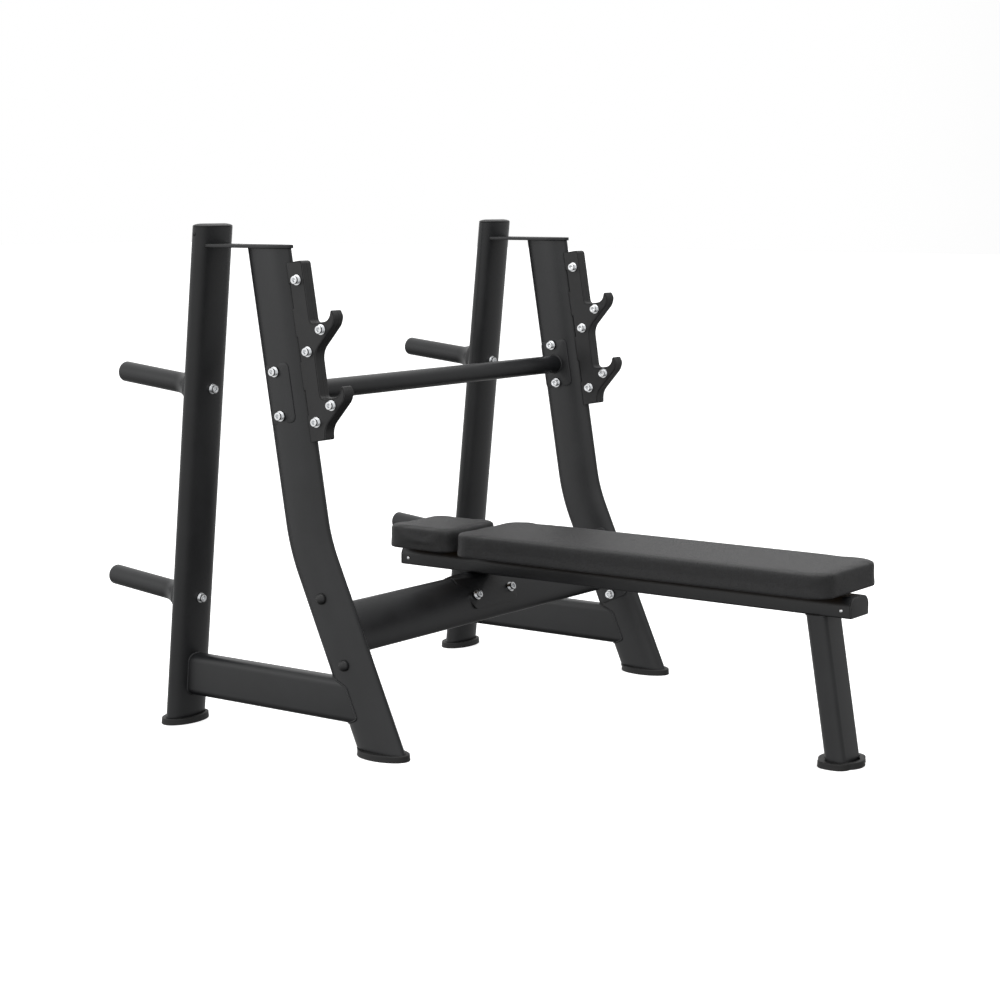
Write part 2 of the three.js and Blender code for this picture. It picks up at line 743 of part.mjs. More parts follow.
// A board the size of a pad's underside, let into it.
function board(pad, slack) {
  const length = pad.x1 - pad.x0 - 2 * (boardInset - slack);
  const width = pad.width - 2 * (boardInset - slack);
  const outline = rectangle(length, width, pad.corner - boardInset + slack);
  const low = slack > 0 ? padBottom - 1 : padBottom;
  return raised(outline, (pad.x0 + pad.x1) / 2, 0, low, padBottom + boardThickness + slack, 3);
}

function upholstery(pad) {
  const outline = rectangle(pad.x1 - pad.x0, pad.width, pad.corner);
  const block = softExtrude(outline, padHeight, padEdge, 1, 3);
  return solid(block.translate((pad.x0 + pad.x1) / 2, 0, padBottom)).subtract(board(pad, gap));
}

// ---------- assembly ----------
const bench = new THREE.Group();

function add(name, body, finish) {
  const mesh = new THREE.Mesh(geometryOf(body), finishes[finish]);
  mesh.name = name;
  bench.add(mesh);
}

const sides = { right: -1, left: 1 };

for (const [label, side] of Object.entries(sides)) {
  add(`rear_upright_${label}`, rearUpright(side), 'powderCoat');
  add(`rear_cap_${label}`, rearCap(side), 'plastic');
  add(`rear_foot_${label}`, rearFoot(side), 'rubber');
  add(`front_upright_${label}`, frontUpright(side), 'powderCoat');
  add(`front_foot_${label}`, frontFoot(side), 'rubber');
  add(`tie_plate_${label}`, tiePlate(side), 'powderCoat');
  add(`side_rail_${label}`, sideRail(side), 'powderCoat');
  for (const [level, z] of Object.entries(pegHeights)) {
    add(`weight_peg_${level}_${label}`, weightPeg(side, z), 'powderCoat');
    add(`peg_bolt_${level}_${label}`, pegBolt(side, z), 'chrome');
  }
  add(`hook_plate_${label}`, hookPlate(side), 'powderCoat');
  add(`hook_cover_outer_${label}`, hookCover(side, side), 'urethane');
  add(`hook_cover_inner_${label}`, hookCover(side, -side), 'urethane');
  hookBolts.forEach((place, i) => add(`hook_bolt_${i + 1}_${label}`, hookBolt(side, place), 'chrome'));
  upperBolts.forEach((place, i) => {
    const bolt = flankBolt(side, upperBarFrame, place, backingPlate.thickness, gap + upperFlange.thickness);
    add(`upper_crossbar_bolt_${i + 1}_${label}`, solid(bolt), 'chrome');
  });
  lowerBolts.forEach((place, i) => {
    const bolt = flankBolt(side, lowerBarFrame, place, 0, gap + lowerFlange.thickness, side);
    add(`lower_crossbar_bolt_${i + 1}_${label}`, solid(bolt), 'chrome');
  });
  add(`saddle_bolt_${label}`, saddleBolt(side), 'chrome');
}

add('upper_crossbar', upperCrossbar(), 'powderCoat');
add('lower_crossbar', lowerCrossbar(), 'powderCoat');
add('saddle_bracket', saddleBracket(), 'powderCoat');
add('bench_beam', benchBeam(), 'powderCoat');
add('beam_cap_head', beamCap(-1), 'plastic');
add('beam_cap_foot', beamCap(1), 'plastic');
add('bench_leg', leg(), 'powderCoat');
add('leg_foot', legFootBlock(), 'rubber');
add('main_pad_board', board(mainPad, 0), 'plywood');
add('main_pad', upholstery(mainPad), 'vinyl');
add('head_pad_board', board(headPad, 0), 'plywood');
add('head_pad', upholstery(headPad), 'vinyl');

// The origin moves from the front feet to the middle of the footprint, on the floor.
const lowPeg = rearFrame(pegHeights.lower);
const pegTilt = radians(-rearLean);
const pegTipEdge = (pegRadius - pegTipRound) * Math.sin(pegTilt);
const headEnd = lowPeg.x - pegReach * Math.cos(pegTilt) - pegTipEdge;
const footEnd = Math.max(beamFootX, legFoot.x + legFoot.length / 2);
bench.position.x = -(headEnd + footEnd) / 2;

export default bench;
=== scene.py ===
import math

import bmesh
import bpy
import numpy as np
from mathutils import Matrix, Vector


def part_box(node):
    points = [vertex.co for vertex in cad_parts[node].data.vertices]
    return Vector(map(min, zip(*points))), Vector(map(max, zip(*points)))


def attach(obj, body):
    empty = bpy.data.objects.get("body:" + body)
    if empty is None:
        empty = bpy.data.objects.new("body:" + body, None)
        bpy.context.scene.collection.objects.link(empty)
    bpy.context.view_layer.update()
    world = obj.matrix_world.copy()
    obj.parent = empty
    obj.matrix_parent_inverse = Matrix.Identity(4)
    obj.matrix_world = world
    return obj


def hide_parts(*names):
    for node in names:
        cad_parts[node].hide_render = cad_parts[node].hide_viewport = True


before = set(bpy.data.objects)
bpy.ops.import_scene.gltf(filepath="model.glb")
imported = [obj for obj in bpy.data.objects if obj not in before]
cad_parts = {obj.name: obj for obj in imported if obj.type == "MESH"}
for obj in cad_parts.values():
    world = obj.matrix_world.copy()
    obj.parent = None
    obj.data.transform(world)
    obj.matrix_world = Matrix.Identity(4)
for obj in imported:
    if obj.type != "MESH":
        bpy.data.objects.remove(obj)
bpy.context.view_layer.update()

# An olympic bench press: satin black tube frame, moulded hooks, bright bolts and two vinyl pads.
# All lengths are metres in the frame's own axes: +X to the foot end, +Y the lifter's left, +Z up.

mm = 0.001


def mid(node):
    low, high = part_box(node)
    return (low + high) / 2


frontFootX = mid("front_foot_right").x
sideY = mid("front_foot_left").y
sides = {"right": -1, "left": 1}


def at(x):  # a length along the bench measured from the front foot
    return frontFootX + x * mm


def hexColor(code):  # sRGB hex to linear RGBA
    parts = np.array([int(code[i:i + 2], 16) for i in (0, 2, 4)]) / 255
    linear = np.where(parts <= 0.04045, parts / 12.92, ((parts + 0.055) / 1.055) ** 2.4)
    return (*linear.tolist(), 1.0)


# camera

shot = {
    "azimuth": 35.897, "elevation": 7.937, "lens": 78.33,
    "place": (at(2994.9), -4.24297, 1.24464),
}
camera = bpy.data.objects.new("camera", bpy.data.cameras.new("camera"))
camera.data.lens = shot["lens"]
camera.data.clip_end = 100
camera.location = shot["place"]
camera.rotation_euler = (math.radians(90 - shot["elevation"]), 0, math.radians(shot["azimuth"]))
bpy.context.collection.objects.link(camera)
bpy.context.scene.camera = camera


# materials

def addNode(tree, kind, settings=None, **links):
    # one node: settings are its properties or socket values, links are socket name to output
    node = tree.nodes.new(kind)
    for key, value in (settings or {}).items():
        if hasattr(node, key):
            setattr(node, key, value)
        else:
            node.inputs[key].default_value = value
    for key, output in links.items():
        tree.links.new(node.inputs[key.replace("_", " ")], output)
    return node


def newMaterial(name, rough=0.5, ior=1.5, metal=0.0):
    material = bpy.data.materials.new(name)
    material.use_nodes = True
    shader = material.node_tree.nodes["Principled BSDF"]
    shader.inputs["Roughness"].default_value = rough
    shader.inputs["Metallic"].default_value = metal
    if not metal:
        shader.inputs["IOR"].default_value = ior
    return material, material.node_tree, shader


def ramp(tree, factor, stops):
    node = addNode(tree, "ShaderNodeValToRGB", Fac=factor)
    elements = node.color_ramp.elements
    while len(elements) < len(stops):
        elements.new(0.5)
    for element, (place, color) in zip(elements, stops):
        element.position = place
        element.color = color
    return node.outputs["Color"]


def roughness(tree, factor, low, high):
    node = addNode(tree, "ShaderNodeMapRange", {"To Min": low, "To Max": high}, Value=factor)
    return node.outputs["Result"]


def powderCoat():
    # Baked polyester powder on steel: satin, with a fine orange peel that softens every reflection.
    look = {"peel": 3.2 * mm, "dust": 60 * mm, "dark": "111214", "light": "18191b"}
    material, tree, shader = newMaterial("satinPowderCoat", rough=0.38, ior=1.52)
    place = addNode(tree, "ShaderNodeTexCoord").outputs["Object"]
    peel = addNode(tree, "ShaderNodeTexNoise", {"Scale": 1 / look["peel"], "Detail": 3.0}, Vector=place)
    dust = addNode(tree, "ShaderNodeTexNoise", {"Scale": 1 / look["dust"], "Detail": 5.0}, Vector=place)
    color = ramp(tree, dust.outputs["Fac"], [(0.35, hexColor(look["dark"])), (0.7, hexColor(look["light"]))])
    bump = addNode(tree, "ShaderNodeBump", {"Strength": 0.12, "Distance": 0.12 * mm},
                   Height=peel.outputs["Fac"])
    tree.links.new(shader.inputs["Base Color"], color)
    tree.links.new(shader.inputs["Roughness"], roughness(tree, dust.outputs["Fac"], 0.34, 0.46))
    tree.links.new(shader.inputs["Normal"], bump.outputs["Normal"])
    return material


def boltPlate():
    # Zinc-nickel plated steel: bright, slightly soft reflections with faint turning marks.
    look = {"marks": 0.5 * mm, "dark": "dcdee0", "light": "eff0f1"}
    material, tree, shader = newMaterial("brightPlatedSteel", rough=0.2, metal=1.0)
    place = addNode(tree, "ShaderNodeTexCoord").outputs["Object"]
    marks = addNode(tree, "ShaderNodeTexNoise", {"Scale": 1 / look["marks"], "Detail": 2.0}, Vector=place)
    color = ramp(tree, marks.outputs["Fac"], [(0.3, hexColor(look["dark"])), (0.7, hexColor(look["light"]))])
    bump = addNode(tree, "ShaderNodeBump", {"Strength": 0.05, "Distance": 0.02 * mm},
                   Height=marks.outputs["Fac"])
    tree.links.new(shader.inputs["Base Color"], color)
    tree.links.new(shader.inputs["Roughness"], roughness(tree, marks.outputs["Fac"], 0.12, 0.2))
    tree.links.new(shader.inputs["Normal"], bump.outputs["Normal"])
    return material


def moulded(name, dark, light, grain, rough, depth):
    # Moulded plastic or rubber: a fine spark-eroded grain that breaks up the highlights.
    material, tree, shader = newMaterial(name, rough=rough, ior=1.49)
    place = addNode(tree, "ShaderNodeTexCoord").outputs["Object"]
    fine = addNode(tree, "ShaderNodeTexNoise", {"Scale": 1 / grain, "Detail": 4.0, "Roughness": 0.6},
                   Vector=place)
    broad = addNode(tree, "ShaderNodeTexNoise", {"Scale": 1 / (40 * mm), "Detail": 3.0}, Vector=place)
    color = ramp(tree, broad.outputs["Fac"], [(0.35, hexColor(dark)), (0.7, hexColor(light))])
    bump = addNode(tree, "ShaderNodeBump", {"Strength": 0.3, "Distance": depth}, Height=fine.outputs["Fac"])
    sheen = roughness(tree, fine.outputs["Fac"], rough - 0.06, rough + 0.1)
    tree.links.new(shader.inputs["Base Color"], color)
    tree.links.new(shader.inputs["Roughness"], sheen)
    tree.links.new(shader.inputs["Normal"], bump.outputs["Normal"])
    return material


def padVinyl():
    # PVC-coated upholstery cloth: pebbled leather grain over a soft plastic sheen, with painted shade darkening
    # the grooves between the pebbles.
    look = {"pebble": 2.6 * mm, "crease": 14 * mm, "wander": 2.5 * mm,
            "dark": "161617", "light": "1f1f21", "grooveShade": "0d0d0e"}
    material, tree, shader = newMaterial("grainedVinyl", rough=0.46, ior=1.5)
    place = addNode(tree, "ShaderNodeTexCoord").outputs["Object"]
    warp = addNode(tree, "ShaderNodeTexNoise", {"Scale": 1 / look["crease"], "Detail": 3.0}, Vector=place)
    shift = addNode(tree, "ShaderNodeVectorMath", {"operation": "MULTIPLY_ADD"})
    tree.links.new(shift.inputs[0], warp.outputs["Color"])
    shift.inputs[1].default_value = (look["wander"],) * 3
    tree.links.new(shift.inputs[2], place)
    cells = addNode(tree, "ShaderNodeTexVoronoi",
                    {"Scale": 1 / look["pebble"], "feature": "DISTANCE_TO_EDGE"}, Vector=shift.outputs[0])
    groove = addNode(tree, "ShaderNodeMapRange",
                     {"From Max": 0.22, "interpolation_type": "SMOOTHSTEP"}, Value=cells.outputs["Distance"])
    tone = ramp(tree, warp.outputs["Fac"], [(0.35, hexColor(look["dark"])), (0.7, hexColor(look["light"]))])
    # painted shade: the sunken grooves between pebbles take a darker colour than the pebble tops
    color = addNode(tree, "ShaderNodeMix", {"data_type": "RGBA"})
    tree.links.new(color.inputs[0], groove.outputs["Result"])
    color.inputs[6].default_value = hexColor(look["grooveShade"])
    tree.links.new(color.inputs[7], tone)
    coarse = addNode(tree, "ShaderNodeBump", {"Strength": 0.25, "Distance": 0.6 * mm},
                     Height=warp.outputs["Fac"])
    bump = addNode(tree, "ShaderNodeBump", {"Strength": 0.9, "Distance": 0.4 * mm},
                   Height=groove.outputs["Result"], Normal=coarse.outputs["Normal"])
    tree.links.new(shader.inputs["Base Color"], color.outputs[2])
    tree.links.new(shader.inputs["Roughness"], roughness(tree, groove.outputs["Result"], 0.62, 0.44))
    tree.links.new(shader.inputs["Normal"], bump.outputs["Normal"])
    return material


def birchPly():
    # Birch plywood: pale face veneer with long grain along the board.
    look = {"grain": 7 * mm, "dark": "8f6b42", "light": "c39d6b"}
    material, tree, shader = newMaterial("birchPlywood", rough=0.65, ior=1.45)
    place = addNode(tree, "ShaderNodeTexCoord").outputs["Object"]
    stretch = addNode(tree, "ShaderNodeMapping", {"Scale": (0.06, 1.0, 1.0)}, Vector=place)
    grain = addNode(tree, "ShaderNodeTexNoise",
                    {"Scale": 1 / look["grain"], "Detail": 6.0, "Distortion": 0.6},
                    Vector=stretch.outputs["Vector"])
    color = ramp(tree, grain.outputs["Fac"], [(0.3, hexColor(look["dark"])), (0.65, hexColor(look["light"]))])
    bump = addNode(tree, "ShaderNodeBump", {"Strength": 0.2, "Distance": 0.2 * mm}, Height=grain.outputs["Fac"])
    tree.links.new(shader.inputs["Base Color"], color)
    tree.links.new(shader.inputs["Roughness"], roughness(tree, grain.outputs["Fac"], 0.58, 0.75))
    tree.links.new(shader.inputs["Normal"], bump.outputs["Normal"])
    return material


finishes = {
    "powder_coat": powderCoat(),
    "bolt_chrome": boltPlate(),
    "foot_rubber": moulded("mouldedRubber", "0d0d0d", "151515", 2.4 * mm, 0.55, 0.15 * mm),
    "cap_plastic": moulded("blackNylon", "121213", "1a1a1b", 1.8 * mm, 0.42, 0.08 * mm),
    "hook_urethane": moulded("castUrethane", "121213", "19191a", 2.2 * mm, 0.44, 0.1 * mm),
    "pad_vinyl": padVinyl(),
    "pad_board": birchPly(),
}
print("materials ready")


# surfaces

def ellipseRing(semiA, semiB, count=96):
    # (semiA cos t, semiB sin t), t once round
    t = np.linspace(0, 2 * np.pi, count, endpoint=False)
    return np.stack([semiA * np.cos(t), semiB * np.sin(t)], 1)


def filletRing(corners, density=0.6 * mm):
    # sharp corners [a, b, radius] joined by straights and tangent arcs, counter-clockwise
    points = np.array([c[:2] for c in corners], float)
    ring = []
    for i, (a, b, radius) in enumerate(corners):
        corner = points[i]
        before = points[i - 1] - corner
        after = points[(i + 1) % len(points)] - corner
        before, after = before / np.linalg.norm(before), after / np.linalg.norm(after)
        half = math.acos(np.clip(before @ after, -1, 1)) / 2
        middle = (before + after) / np.linalg.norm(before + after)
        centre = corner + middle * radius / math.sin(half)
        start = corner + before * radius / math.tan(half) - centre
        sweep = math.pi - 2 * half
        if before[0] * after[1] - before[1] * after[0] > 0:
            sweep = -sweep
        steps = max(3, int(abs(sweep) * (radius + 2 * mm) / (4 * density)))
        t = np.linspace(0, sweep, steps + 1)
        ring.append(centre + np.stack([start[0] * np.cos(t) - start[1] * np.sin(t),
                                       start[0] * np.sin(t) + start[1] * np.cos(t)], 1))
    return np.concatenate(ring)


def rectRing(width, height, corner, density=0.6 * mm):
    w, h = width / 2, height / 2
    return filletRing([[w, -h, corner], [w, h, corner], [-w, h, corner], [-w, -h, corner]], density)


def outward(ring):
    # unit normals of a counter-clockwise ring: the tangent turned a quarter clockwise
    tangent = np.roll(ring, -1, 0) - np.roll(ring, 1, 0)
    normal = np.stack([tangent[:, 1], -tangent[:, 0]], 1)
    return normal / np.linalg.norm(normal, axis=1, keepdims=True)


def slabRings(ring, height, edge, steps=3, crown=0, under=None):
    # rings (a, b, h) of a plate with rounded edges: offset edge(1 - sin t), height edge(1 - cos t)
    normal = outward(ring)
    under = edge if under is None else under
    t = np.linspace(0, np.pi / 2, steps + 1)
    inset = np.concatenate([under * (1 - np.sin(t)), edge * (1 - np.cos(t))])
    level = np.concatenate([under * (1 - np.cos(t)), height - edge + edge * np.sin(t)])
    flat = ring[None] - normal[None] * inset[:, None, None]
    rings = np.concatenate([flat, np.broadcast_to(level[:, None, None], (*flat.shape[:2], 1))], 2)
    if crown:  # shrink towards the middle, for faces that bend with what they lie on
        share = np.linspace(0, 1, crown, endpoint=False)[:, None, None]
        centre = np.array([*ring.mean(0), 0])
        low = centre + (rings[0] - centre) * share * [1, 1, 0] + (rings[0] - centre) * [0, 0, 1]
        high = centre + (rings[-1] - centre) * share * [1, 1, 0] + (rings[-1] - centre) * [0, 0, 1]
        rings = np.concatenate([low, rings, high[::-1]])
    return rings


def joinShells(name, shells, finish, sharp=35):
    # each shell is an array (rings, points, 3) closed round its points; its end rings become caps
    verts, faces, start = [], [], 0
    for shell in shells:
        count, around = shell.shape[:2]
        index = start + np.arange(count * around).reshape(count, around)
        ahead = np.roll(index, -1, 1)
        quads = np.stack([index[:-1], ahead[:-1], ahead[1:], index[1:]], 2).reshape(-1, 4)
        verts.append(shell.reshape(-1, 3))
        faces += quads.tolist() + [index[0][::-1].tolist(), index[-1].tolist()]
        start += count * around
    mesh = bpy.data.meshes.new(name)
    mesh.from_pydata(np.concatenate(verts).tolist(), [], faces)
    work = bmesh.new()
    work.from_mesh(mesh)
    bmesh.ops.remove_doubles(work, verts=work.verts, dist=1e-6)
    bmesh.ops.recalc_face_normals(work, faces=work.faces)
    work.to_mesh(mesh)
    work.free()
    mesh.shade_smooth()
    mesh.set_sharp_from_angle(angle=math.radians(sharp))
    piece = bpy.data.objects.new(name, mesh)
    bpy.context.collection.objects.link(piece)
    mesh.materials.append(finishes[finish])
    return piece


def fit(piece, *nodes):
    if nodes:
        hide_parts(*nodes)
    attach(piece, "root")
    return piece


def axesOf(lean):
    angle = math.radians(lean)
    return (np.array([math.cos(angle), 0, math.sin(angle)]),
            np.array([-math.sin(angle), 0, math.cos(angle)]))


def place(points, spot, lean, y=0.0):
    # local (u, Y, v) to the frame: u ahead of the leaning axis, v up it
    u, v = axesOf(lean)
    x, z = spot
    return (points[..., :1] * u + points[..., 1:2] * np.array([0, 1, 0]) + points[..., 2:] * v
            + np.array([x, y, z]))


def lathe(profile, around=48):
    # profile (radius, height) turned about the local v axis: (r cos t, r sin t, h)
    profile = np.asarray(profile, float)
    t = np.linspace(0, 2 * np.pi, around, endpoint=False)
    r, h = profile[:, :1], profile[:, 1:]
    return np.stack([r * np.cos(t), r * np.sin(t), np.broadcast_to(h, (len(profile), around))], 2)


def arc(centre, radius, start, end, steps=6):
    t = np.radians(np.linspace(start, end, steps + 1))
    return np.stack([centre[0] + radius * np.cos(t), centre[1] + radius * np.sin(t)], 1)


def weldBead(name, path, radius=2.4 * mm, ripple=3.2 * mm):
    # a round bead along a closed path, its radius r(1 + 0.12 sin(2 pi s / ripple)) along the seam
    step = np.linalg.norm(np.roll(path, -1, 0) - path, axis=1)
    s = np.concatenate([[0], np.cumsum(step)[:-1]])
    total = step.sum()
    fine = np.linspace(0, total, int(total / (ripple / 5)), endpoint=False)
    closed = np.concatenate([path, path[:1]])
    line = np.stack([np.interp(fine, np.append(s, total), closed[:, k]) for k in range(3)], 1)
    tangent = np.roll(line, -1, 0) - np.roll(line, 1, 0)
    tangent /= np.linalg.norm(tangent, axis=1, keepdims=True)
    side = np.cross(tangent, line - line.mean(0))
    side /= np.linalg.norm(side, axis=1, keepdims=True)
    up = np.cross(side, tangent)
    waves = round(total / ripple)
    size = radius * (1 + 0.12 * np.sin(2 * np.pi * waves * fine / total))
    t = np.linspace(0, 2 * np.pi, 8, endpoint=False)
    tube = (line[:, None] + size[:, None, None]
            * (side[:, None] * np.cos(t)[:, None] + up[:, None] * np.sin(t)[:, None]))
    index = np.arange(len(line) * 8).reshape(-1, 8)
    ahead = np.roll(index, -1, 1)
    quads = np.stack([index, ahead, np.roll(ahead, -1, 0), np.roll(index, -1, 0)], 2).reshape(-1, 4)
    mesh = bpy.data.meshes.new(name)
    mesh.from_pydata(tube.reshape(-1, 3).tolist(), [], quads.tolist())
    work = bmesh.new()
    work.from_mesh(mesh)
    bmesh.ops.recalc_face_normals(work, faces=work.faces)
    work.to_mesh(mesh)
    work.free()
    mesh.shade_smooth()
    piece = bpy.data.objects.new(name, mesh)
    bpy.context.collection.objects.link(piece)
    mesh.materials.append(finishes["powder_coat"])
    return fit(piece)


# side frames

tube = {"long": 60.5 * mm, "short": 26 * mm, "bottom": 3.3 * mm}  # half sizes of the oval
rear = {"footX": at(-611), "lean": -5.75, "top": 1176 * mm}
front = {"lower": 24.1, "upper": 9.533, "bendZ": 464.6 * mm, "radius": 420 * mm, "top": 1129.7 * mm}
front["bendX"] = frontFootX - front["bendZ"] * math.tan(math.radians(front["lower"]))


def rearX(z):
    return rear["footX"] - z * math.tan(math.radians(rear["lean"]))


def frontSpot(z):
    # (x, z) on the front upright's axis and its lean there
    if z < front["bendZ"]:
        return (frontFootX - z * math.tan(math.radians(front["lower"])), z), front["lower"]
    ahead = (z - front["bendZ"]) * math.tan(math.radians(front["upper"]))
    return (front["bendX"] - ahead, z), front["upper"]


def frontStations():
    # x, z, lean and cut of the straight, the arc and the second straight
    low, high = math.radians(front["lower"]), math.radians(front["upper"])
    reach = front["radius"] * math.tan((low - high) / 2)
    startX = front["bendX"] + reach * math.sin(low)
    startZ = front["bendZ"] - reach * math.cos(low)
    lean = np.linspace(low, high, 25)
    x = startX + front["radius"] * (math.cos(low) - np.cos(lean))
    z = startZ + front["radius"] * (math.sin(low) - np.sin(lean))
    bottomSpot, topSpot = frontSpot(tube["bottom"])[0], frontSpot(front["top"])[0]
    bend = np.stack([x, z, lean, lean], 1)
    return np.concatenate([[[*bottomSpot, low, 0]], bend, [[*topSpot, high, 0]]])


def sweep(ring, stations, y):
    # the section point (a, b) at each station: a along the cut plane, stretched by 1 / cos(lean - cut)
    x, z, lean, cut = stations.T[:, :, None]
    along = ring[None, :, 0] / np.cos(lean - cut)
    return np.stack([x + along * np.cos(cut), np.broadcast_to(ring[:, 1] + y, along.shape),
                     z + along * np.sin(cut)], 2)


def rearStations(bottom, top):
    lean = math.radians(rear["lean"])
    return np.array([[rearX(z), z, lean, 0] for z in (bottom, top)])


def rearCap(y):
    # plug, thin seam, short wall, then a dome: rings shrink by 1 - cos t while they rise by sin t
    cap = {"rise": 7.7 * mm, "wall": 1.6 * mm, "plug": 22 * mm}
    semiA, semiB = tube["short"] / math.cos(math.radians(rear["lean"])), tube["long"]
    seat = rear["top"] + 0.3 * mm
    t = np.linspace(0, np.pi / 2, 12)
    dome = (semiA - 1 * mm) * (1 - np.cos(t))
    inset = np.concatenate([[4 * mm, 4 * mm, 0.5 * mm, 0.2 * mm], dome])
    level = np.concatenate([[rear["top"] - cap["plug"], seat, seat, seat + 0.4 * mm],
                            seat + cap["wall"] + (cap["rise"] - cap["wall"]) * np.sin(t)])
    ring = ellipseRing(1, 1)
    return np.stack([ring[None, :, 0] * (semiA - inset)[:, None] + rearX(rear["top"]),
                     ring[None, :, 1] * (semiB - inset)[:, None] + y,
                     np.broadcast_to(level[:, None], (len(level), len(ring)))], 2)


def footRings(outer, inner, centre, innerCentre, height=15 * mm, edge=2.2 * mm):
    # outer and inner are rings of the same length; the block rises outside and dips in beside the tube
    normal = outer / np.linalg.norm(outer, axis=1, keepdims=True)
    t = np.linspace(0, np.pi / 2, 5)
    offsets = np.concatenate([[1.2 * mm, 0], [0.8 * mm], 0.8 * mm + edge * (1 - np.cos(t))])
    levels = np.concatenate([[0, 1.2 * mm], [height * 0.6], height - edge + edge * np.sin(t)])
    shell = [np.column_stack([outer - normal * d + centre, np.full(len(outer), z)])
             for d, z in zip(offsets, levels)]
    lip = inner + innerCentre
    away = inner / np.linalg.norm(inner, axis=1, keepdims=True)
    shell.append(np.column_stack([lip + away * 1.6 * mm, np.full(len(inner), height)]))
    shell.append(np.column_stack([lip + away * 0.7 * mm, np.full(len(inner), height - 1.2 * mm)]))
    shell.append(np.column_stack([lip + away * 0.5 * mm, np.full(len(inner), height - 6 * mm)]))
    return np.array(shell)


def onRear(y):  # how far the tube's front face stands from its axis, at this y from its middle
    return tube["short"] * np.sqrt(np.clip(1 - (y / tube["long"]) ** 2, 0, 1))


rail = {"bottom": 69 * mm, "height": 100 * mm, "width": 50 * mm, "corner": 18 * mm}
tie = {"top": 1138 * mm, "thick": 8 * mm, "rearWidth": 86 * mm, "frontWidth": 64 * mm, "overhang": 6 * mm}


def tiePlate(label, y):
    rearEdge, frontMid = rearX(tie["top"]) + 10 * mm, frontSpot(tie["top"])[0][0]
    nose = tube["long"] / math.cos(math.radians(front["upper"])) + tie["overhang"]
    t = np.linspace(-np.pi / 2, np.pi / 2, 61)
    tip = np.stack([frontMid + nose * np.cos(t), tie["frontWidth"] / 2 * np.sin(t)], 1)
    back = np.array([[rearEdge, tie["rearWidth"] / 2], [rearEdge, -tie["rearWidth"] / 2]])
    ring = np.concatenate([tip, back])
    rings = slabRings(ring, tie["thick"], 1.2 * mm)
    rings = np.stack([rings[..., 0], rings[..., 1] + y, rings[..., 2] + tie["top"] - tie["thick"]], 2)
    fit(joinShells(f"tiePlate_{label}", [rings], "powder_coat"), f"tie_plate_{label}")


def sideFrame(label, side):
    y = side * sideY
    ring = ellipseRing(tube["short"], tube["long"])
    fit(joinShells(f"rearUpright_{label}", [sweep(ring, rearStations(tube["bottom"], rear["top"]), y)],
                   "powder_coat"), f"rear_upright_{label}")
    fit(joinShells(f"rearCap_{label}", [rearCap(y)], "cap_plastic"), f"rear_cap_{label}")
    screwZ = 1160 * mm
    screwSpot = (rearX(screwZ), y + side * tube["long"], screwZ)
    screwHead(f"topScrew_{label}", screwSpot, side, "cap_plastic")
    ring = ellipseRing(tube["long"], tube["short"], 128)
    shells = [sweep(ring, frontStations(), y)]
    backing = upperBar["backing"]
    shells.append(flankPlate(side, False, frontSpot(upperBar["z"]), upperBar["offset"] * mm,
                             upperBar["plate"], backing, -0.2 * mm))
    fit(joinShells(f"frontUpright_{label}", shells, "powder_coat"), f"front_upright_{label}")
    tiePlate(label, y)
    railZ = rail["bottom"] + rail["height"] / 2
    ring = rectRing(rail["width"], rail["height"], rail["corner"], 1 * mm)
    # both ends stand inside the uprights: 10 mm past the rear one's axis, 20 mm short of the front one's
    ends = np.stack([np.full(len(ring), rearX(railZ) + 10 * mm), frontX(ring[:, 1] + railZ) - 20 * mm])
    shell = np.stack([ends, np.broadcast_to(ring[:, 0] + y, ends.shape),
                      np.broadcast_to(ring[:, 1] + railZ, ends.shape)], 2)
    fit(joinShells(f"sideRail_{label}", [shell], "powder_coat"), f"side_rail_{label}")
    bead = np.stack([rearX(ring[:, 1] + railZ) + onRear(ring[:, 0]) * 1.005,
                     ring[:, 0] + y, ring[:, 1] + railZ], 1)
    weldBead(f"railWeldRear_{label}", bead)
    semi = tube["long"] / math.cos(math.radians(front["lower"]))
    reach = semi * np.sqrt(np.clip(1 - (ring[:, 0] / tube["short"]) ** 2, 0, 1))
    bead = np.stack([frontX(ring[:, 1] + railZ) - reach, ring[:, 0] + y, ring[:, 1] + railZ], 1)
    weldBead(f"railWeldFront_{label}", bead)
    footSize = {"long": 69.5 * mm, "short": 41 * mm}
    semi = tube["short"] / math.cos(math.radians(rear["lean"]))
    shell = footRings(ellipseRing(footSize["short"], footSize["long"]), ellipseRing(semi, tube["long"]),
                      np.array([rear["footX"], y]), np.array([rearX(15 * mm), y]))
    fit(joinShells(f"rearFoot_{label}", [shell], "foot_rubber"), f"rear_foot_{label}")
    semi = tube["long"] / math.cos(math.radians(front["lower"]))
    shell = footRings(ellipseRing(footSize["long"], footSize["short"]), ellipseRing(semi, tube["short"]),
                      np.array([frontFootX, y]), np.array([frontX(15 * mm), y]))
    fit(joinShells(f"frontFoot_{label}", [shell], "foot_rubber"), f"front_foot_{label}")


def frontX(z):
    return frontFootX - z * math.tan(math.radians(front["lower"]))


def flankPlate(side, inward, spotLean, offset, size, thick, lift, corner=12 * mm):
    # a plate laid on the tube's flank: (a, b, h) becomes u = a, v = b and the ellipse grown by lift + h
    (x, z), lean = spotLean
    ring = rectRing(size[0], size[1], corner, 1.5 * mm) + [offset, 0]
    rings = slabRings(ring, thick, min(1 * mm, thick / 2.5), crown=12)
    u, v, h = rings[..., 0], rings[..., 1], rings[..., 2] + lift
    w = (tube["short"] + h) * np.sqrt(np.clip(1 - (u / (tube["long"] + h)) ** 2, 0, 1))
    out = -side if inward else side
    local = np.stack([u, out * w, v], 2)
    return place(local, (x, z), lean, side * sideY)


# fasteners

